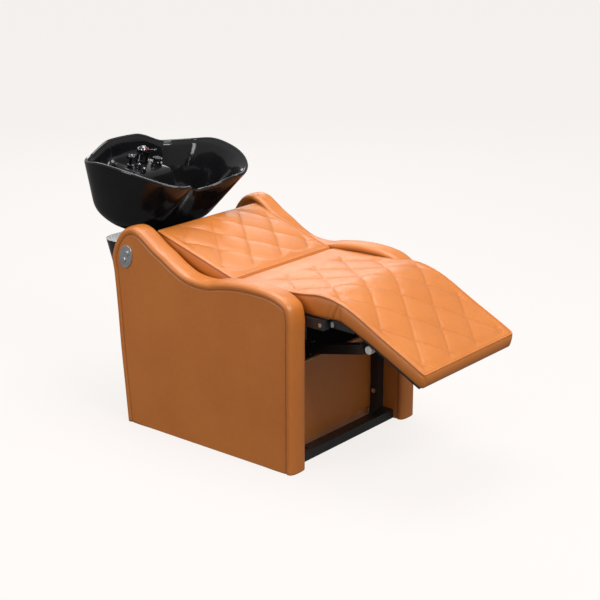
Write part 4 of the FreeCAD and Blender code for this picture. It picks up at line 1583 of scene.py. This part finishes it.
@dataclass
class Studio:
    """Pale floor, soft lights and the camera.

    surround gives the surround light: two heights of the sky and its strength at each.
    """

    boxes: tuple[Softbox, ...] = (
        Softbox("key", (-0.6, -3.4, 3.4), (0.0, -0.2, 0.4), (2.2, 1.8), 120.0),
        Softbox("overhead", (0.4, 0.4, 3.4), (0.0, 0.2, 0.3), (2.2, 1.6), 70.0),
        Softbox("rear_sheet", (2.9, 3.0, 2.3), (0.0, 0.0, 0.5), (2.6, 1.3), 34.0),
        Softbox("near_strip", (-3.4, 0.9, 1.9), (-0.2, 0.3, 0.6), (0.7, 1.9), 34.0),
    )

    target: Vector = field(default_factory=lambda: Vector((-0.0482, -0.17321, 0.450)))
    azimuth: float = -50.83
    elevation: float = 17.55
    distance: float = 4.53389
    lens: float = 87.16
    backdrop: tuple[float, float, float] = (0.905, 0.871, 0.847)
    floor_glow: float = 0.95
    surround: tuple[float, float, float, float] = (-0.5, 0.6, 0.14, 0.52)

    def build(self) -> None:
        """Set up the whole studio."""
        self._camera()
        self._floor()
        self._world()
        for box in self.boxes:
            box.hang()
        bpy.context.scene.view_settings.view_transform = "Standard"

    def _camera(self) -> None:
        """Camera on its sight line, with a long lens."""
        a, e = math.radians(self.azimuth), math.radians(self.elevation)
        away = Vector((math.sin(a) * math.cos(e), -math.cos(a) * math.cos(e), math.sin(e)))
        data = bpy.data.cameras.new("camera")
        data.lens = self.lens
        data.sensor_width = 36.0
        camera = bpy.data.objects.new("camera", data)
        camera.location = self.target + away * self.distance
        camera.rotation_euler = (-away).to_track_quat("-Z", "Y").to_euler()
        bpy.context.scene.collection.objects.link(camera)
        bpy.context.scene.camera = camera

    def _floor(self) -> None:
        """Wide pale floor, a little below the unit's feet."""
        reach = 30.0
        mesh = bmesh.new()
        corners = [(-reach, -reach), (reach, -reach), (reach, reach), (-reach, reach)]
        mesh.faces.new([mesh.verts.new((x, y, -0.0006)) for x, y in corners])
        floor = finish_mesh("studio_floor", mesh)
        pale = Finish(
            "pale_floor", (0.10, 0.097, 0.095), (0.098, 0.095, 0.093), Grain.POWDER,
            roughness=0.85, spread=0.02, specular=0.0, patch_scale=0.5, grain_scale=40.0,
            grain_depth=0.00001,
        ).material()
        shader = pale.node_tree.nodes["Principled BSDF"]
        shader.inputs["Emission Color"].default_value = (*self.backdrop, 1.0)
        shader.inputs["Emission Strength"].default_value = self.floor_glow
        floor.data.materials.append(pale)
        floor.visible_diffuse = False
        floor.visible_glossy = False

    def _world(self) -> None:
        """Soft surround light under a backdrop of one pale tone."""
        world = bpy.data.worlds.new("studio_world")
        world.use_nodes = True
        bpy.context.scene.world = world
        tree = world.node_tree
        tree.nodes.clear()
        out = tree.nodes.new("ShaderNodeOutputWorld")
        mix = tree.nodes.new("ShaderNodeMixShader")
        seen = tree.nodes.new("ShaderNodeBackground")
        seen.inputs["Color"].default_value = (*self.backdrop, 1.0)
        felt = tree.nodes.new("ShaderNodeBackground")
        felt.inputs["Color"].default_value = (1.0, 0.985, 0.97, 1.0)
        place = tree.nodes.new("ShaderNodeTexCoord")
        parts = tree.nodes.new("ShaderNodeSeparateXYZ")
        tree.links.new(place.outputs["Generated"], parts.inputs["Vector"])
        rise = tree.nodes.new("ShaderNodeMapRange")
        for name, number in zip(RANGE_INPUTS, self.surround):
            rise.inputs[name].default_value = number
        tree.links.new(parts.outputs["Z"], rise.inputs["Value"])
        tree.links.new(rise.outputs["Result"], felt.inputs["Strength"])
        rays = tree.nodes.new("ShaderNodeLightPath")
        tree.links.new(rays.outputs["Is Camera Ray"], mix.inputs["Fac"])
        tree.links.new(felt.outputs["Background"], mix.inputs[1])
        tree.links.new(seen.outputs["Background"], mix.inputs[2])
        tree.links.new(mix.outputs["Shader"], out.inputs["Surface"])


# ------------------------------------------------------------------ assembly
def add_sides(wardrobe: Wardrobe) -> None:
    """Build both side panels over their packed covers.

    Args:
        wardrobe: Keeper of materials.
    """
    for side in Side:
        node = f"side_cover_{side.name.lower()}"
        low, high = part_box(node)
        panel = SidePanel(side, low.y, (low.x + high.x) / 2)
        cover, thread = panel.build()
        wardrobe.dress(cover, LEATHER)
        # second material: painted interior shade
        cover.data.materials.append(wardrobe.material(INTERIOR_SHADE))
        panel.paint_inner_shade(cover)
        wardrobe.dress(thread, THREAD)
        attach(cover, "frame")
        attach(thread, "frame")
        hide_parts(node)
        LOG.info("side panel %s: %d vertices", side.name, len(cover.data.vertices))


def add_lounge(wardrobe: Wardrobe, front_y: float) -> None:
    """Build the quilted pads; the seat pad bends over the knee into the leg rest.

    Args:
        wardrobe: Keeper of materials.
        front_y: Front edge of the side panels, in metres.
    """
    lounge = Lounge(front_y)
    seat_parts = lounge.seat().build()
    back_parts = lounge.back().build()
    for parts in (seat_parts, back_parts):
        for piece, finish in zip(parts, (LEATHER, LEATHER, THREAD)):
            wardrobe.dress(piece, finish)
    for piece in seat_parts:
        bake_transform(piece)
    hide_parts("seat_cushion", "leg_rest_cushion")
    for piece in back_parts:
        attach(piece, "frame")
    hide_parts("back_cushion")
    LOG.info("seat and leg pad: %d vertices", len(seat_parts[0].data.vertices))
    LOG.info("back pad: %d vertices", len(back_parts[0].data.vertices))


def add_kick_panel(wardrobe: Wardrobe) -> None:
    """Build the leather kick panel over its packed cover.

    Args:
        wardrobe: Keeper of materials.
    """
    low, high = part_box("kick_panel_cover")
    low.z = KickPanel.floor_gap * MM
    panel = KickPanel(low, high).build()
    wardrobe.dress(panel, LEATHER)
    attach(panel, "frame")
    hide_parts("kick_panel_cover")
    LOG.info("kick panel: %d vertices", len(panel.data.vertices))


def add_basin(wardrobe: Wardrobe, frame: dict) -> None:
    """Build the ceramic basin on its tilt axis.

    Args:
        wardrobe: Keeper of materials.
    """
    joint = next(j for j in frame["record"]["behaviour"]["joints"] if j["name"] == "basin_tilt")
    basin = Basin(Vector(joint["pos_m"])).build()
    wardrobe.dress(basin, GLAZE)
    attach(basin, "basin")
    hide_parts("ceramic_basin")
    LOG.info("basin: %d vertices", len(basin.data.vertices))


def main() -> None:
    """Build every sub-assembly in order."""
    logging.basicConfig(level=logging.INFO, format="%(message)s")
    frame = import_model()
    wardrobe = Wardrobe()
    wardrobe.dress_frame(frame)
    Studio().build()
    front_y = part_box("side_cover_left")[0].y
    add_sides(wardrobe)
    add_lounge(wardrobe, front_y)
    add_kick_panel(wardrobe)
    add_basin(wardrobe, frame)


if __name__ == "__main__":
    main()
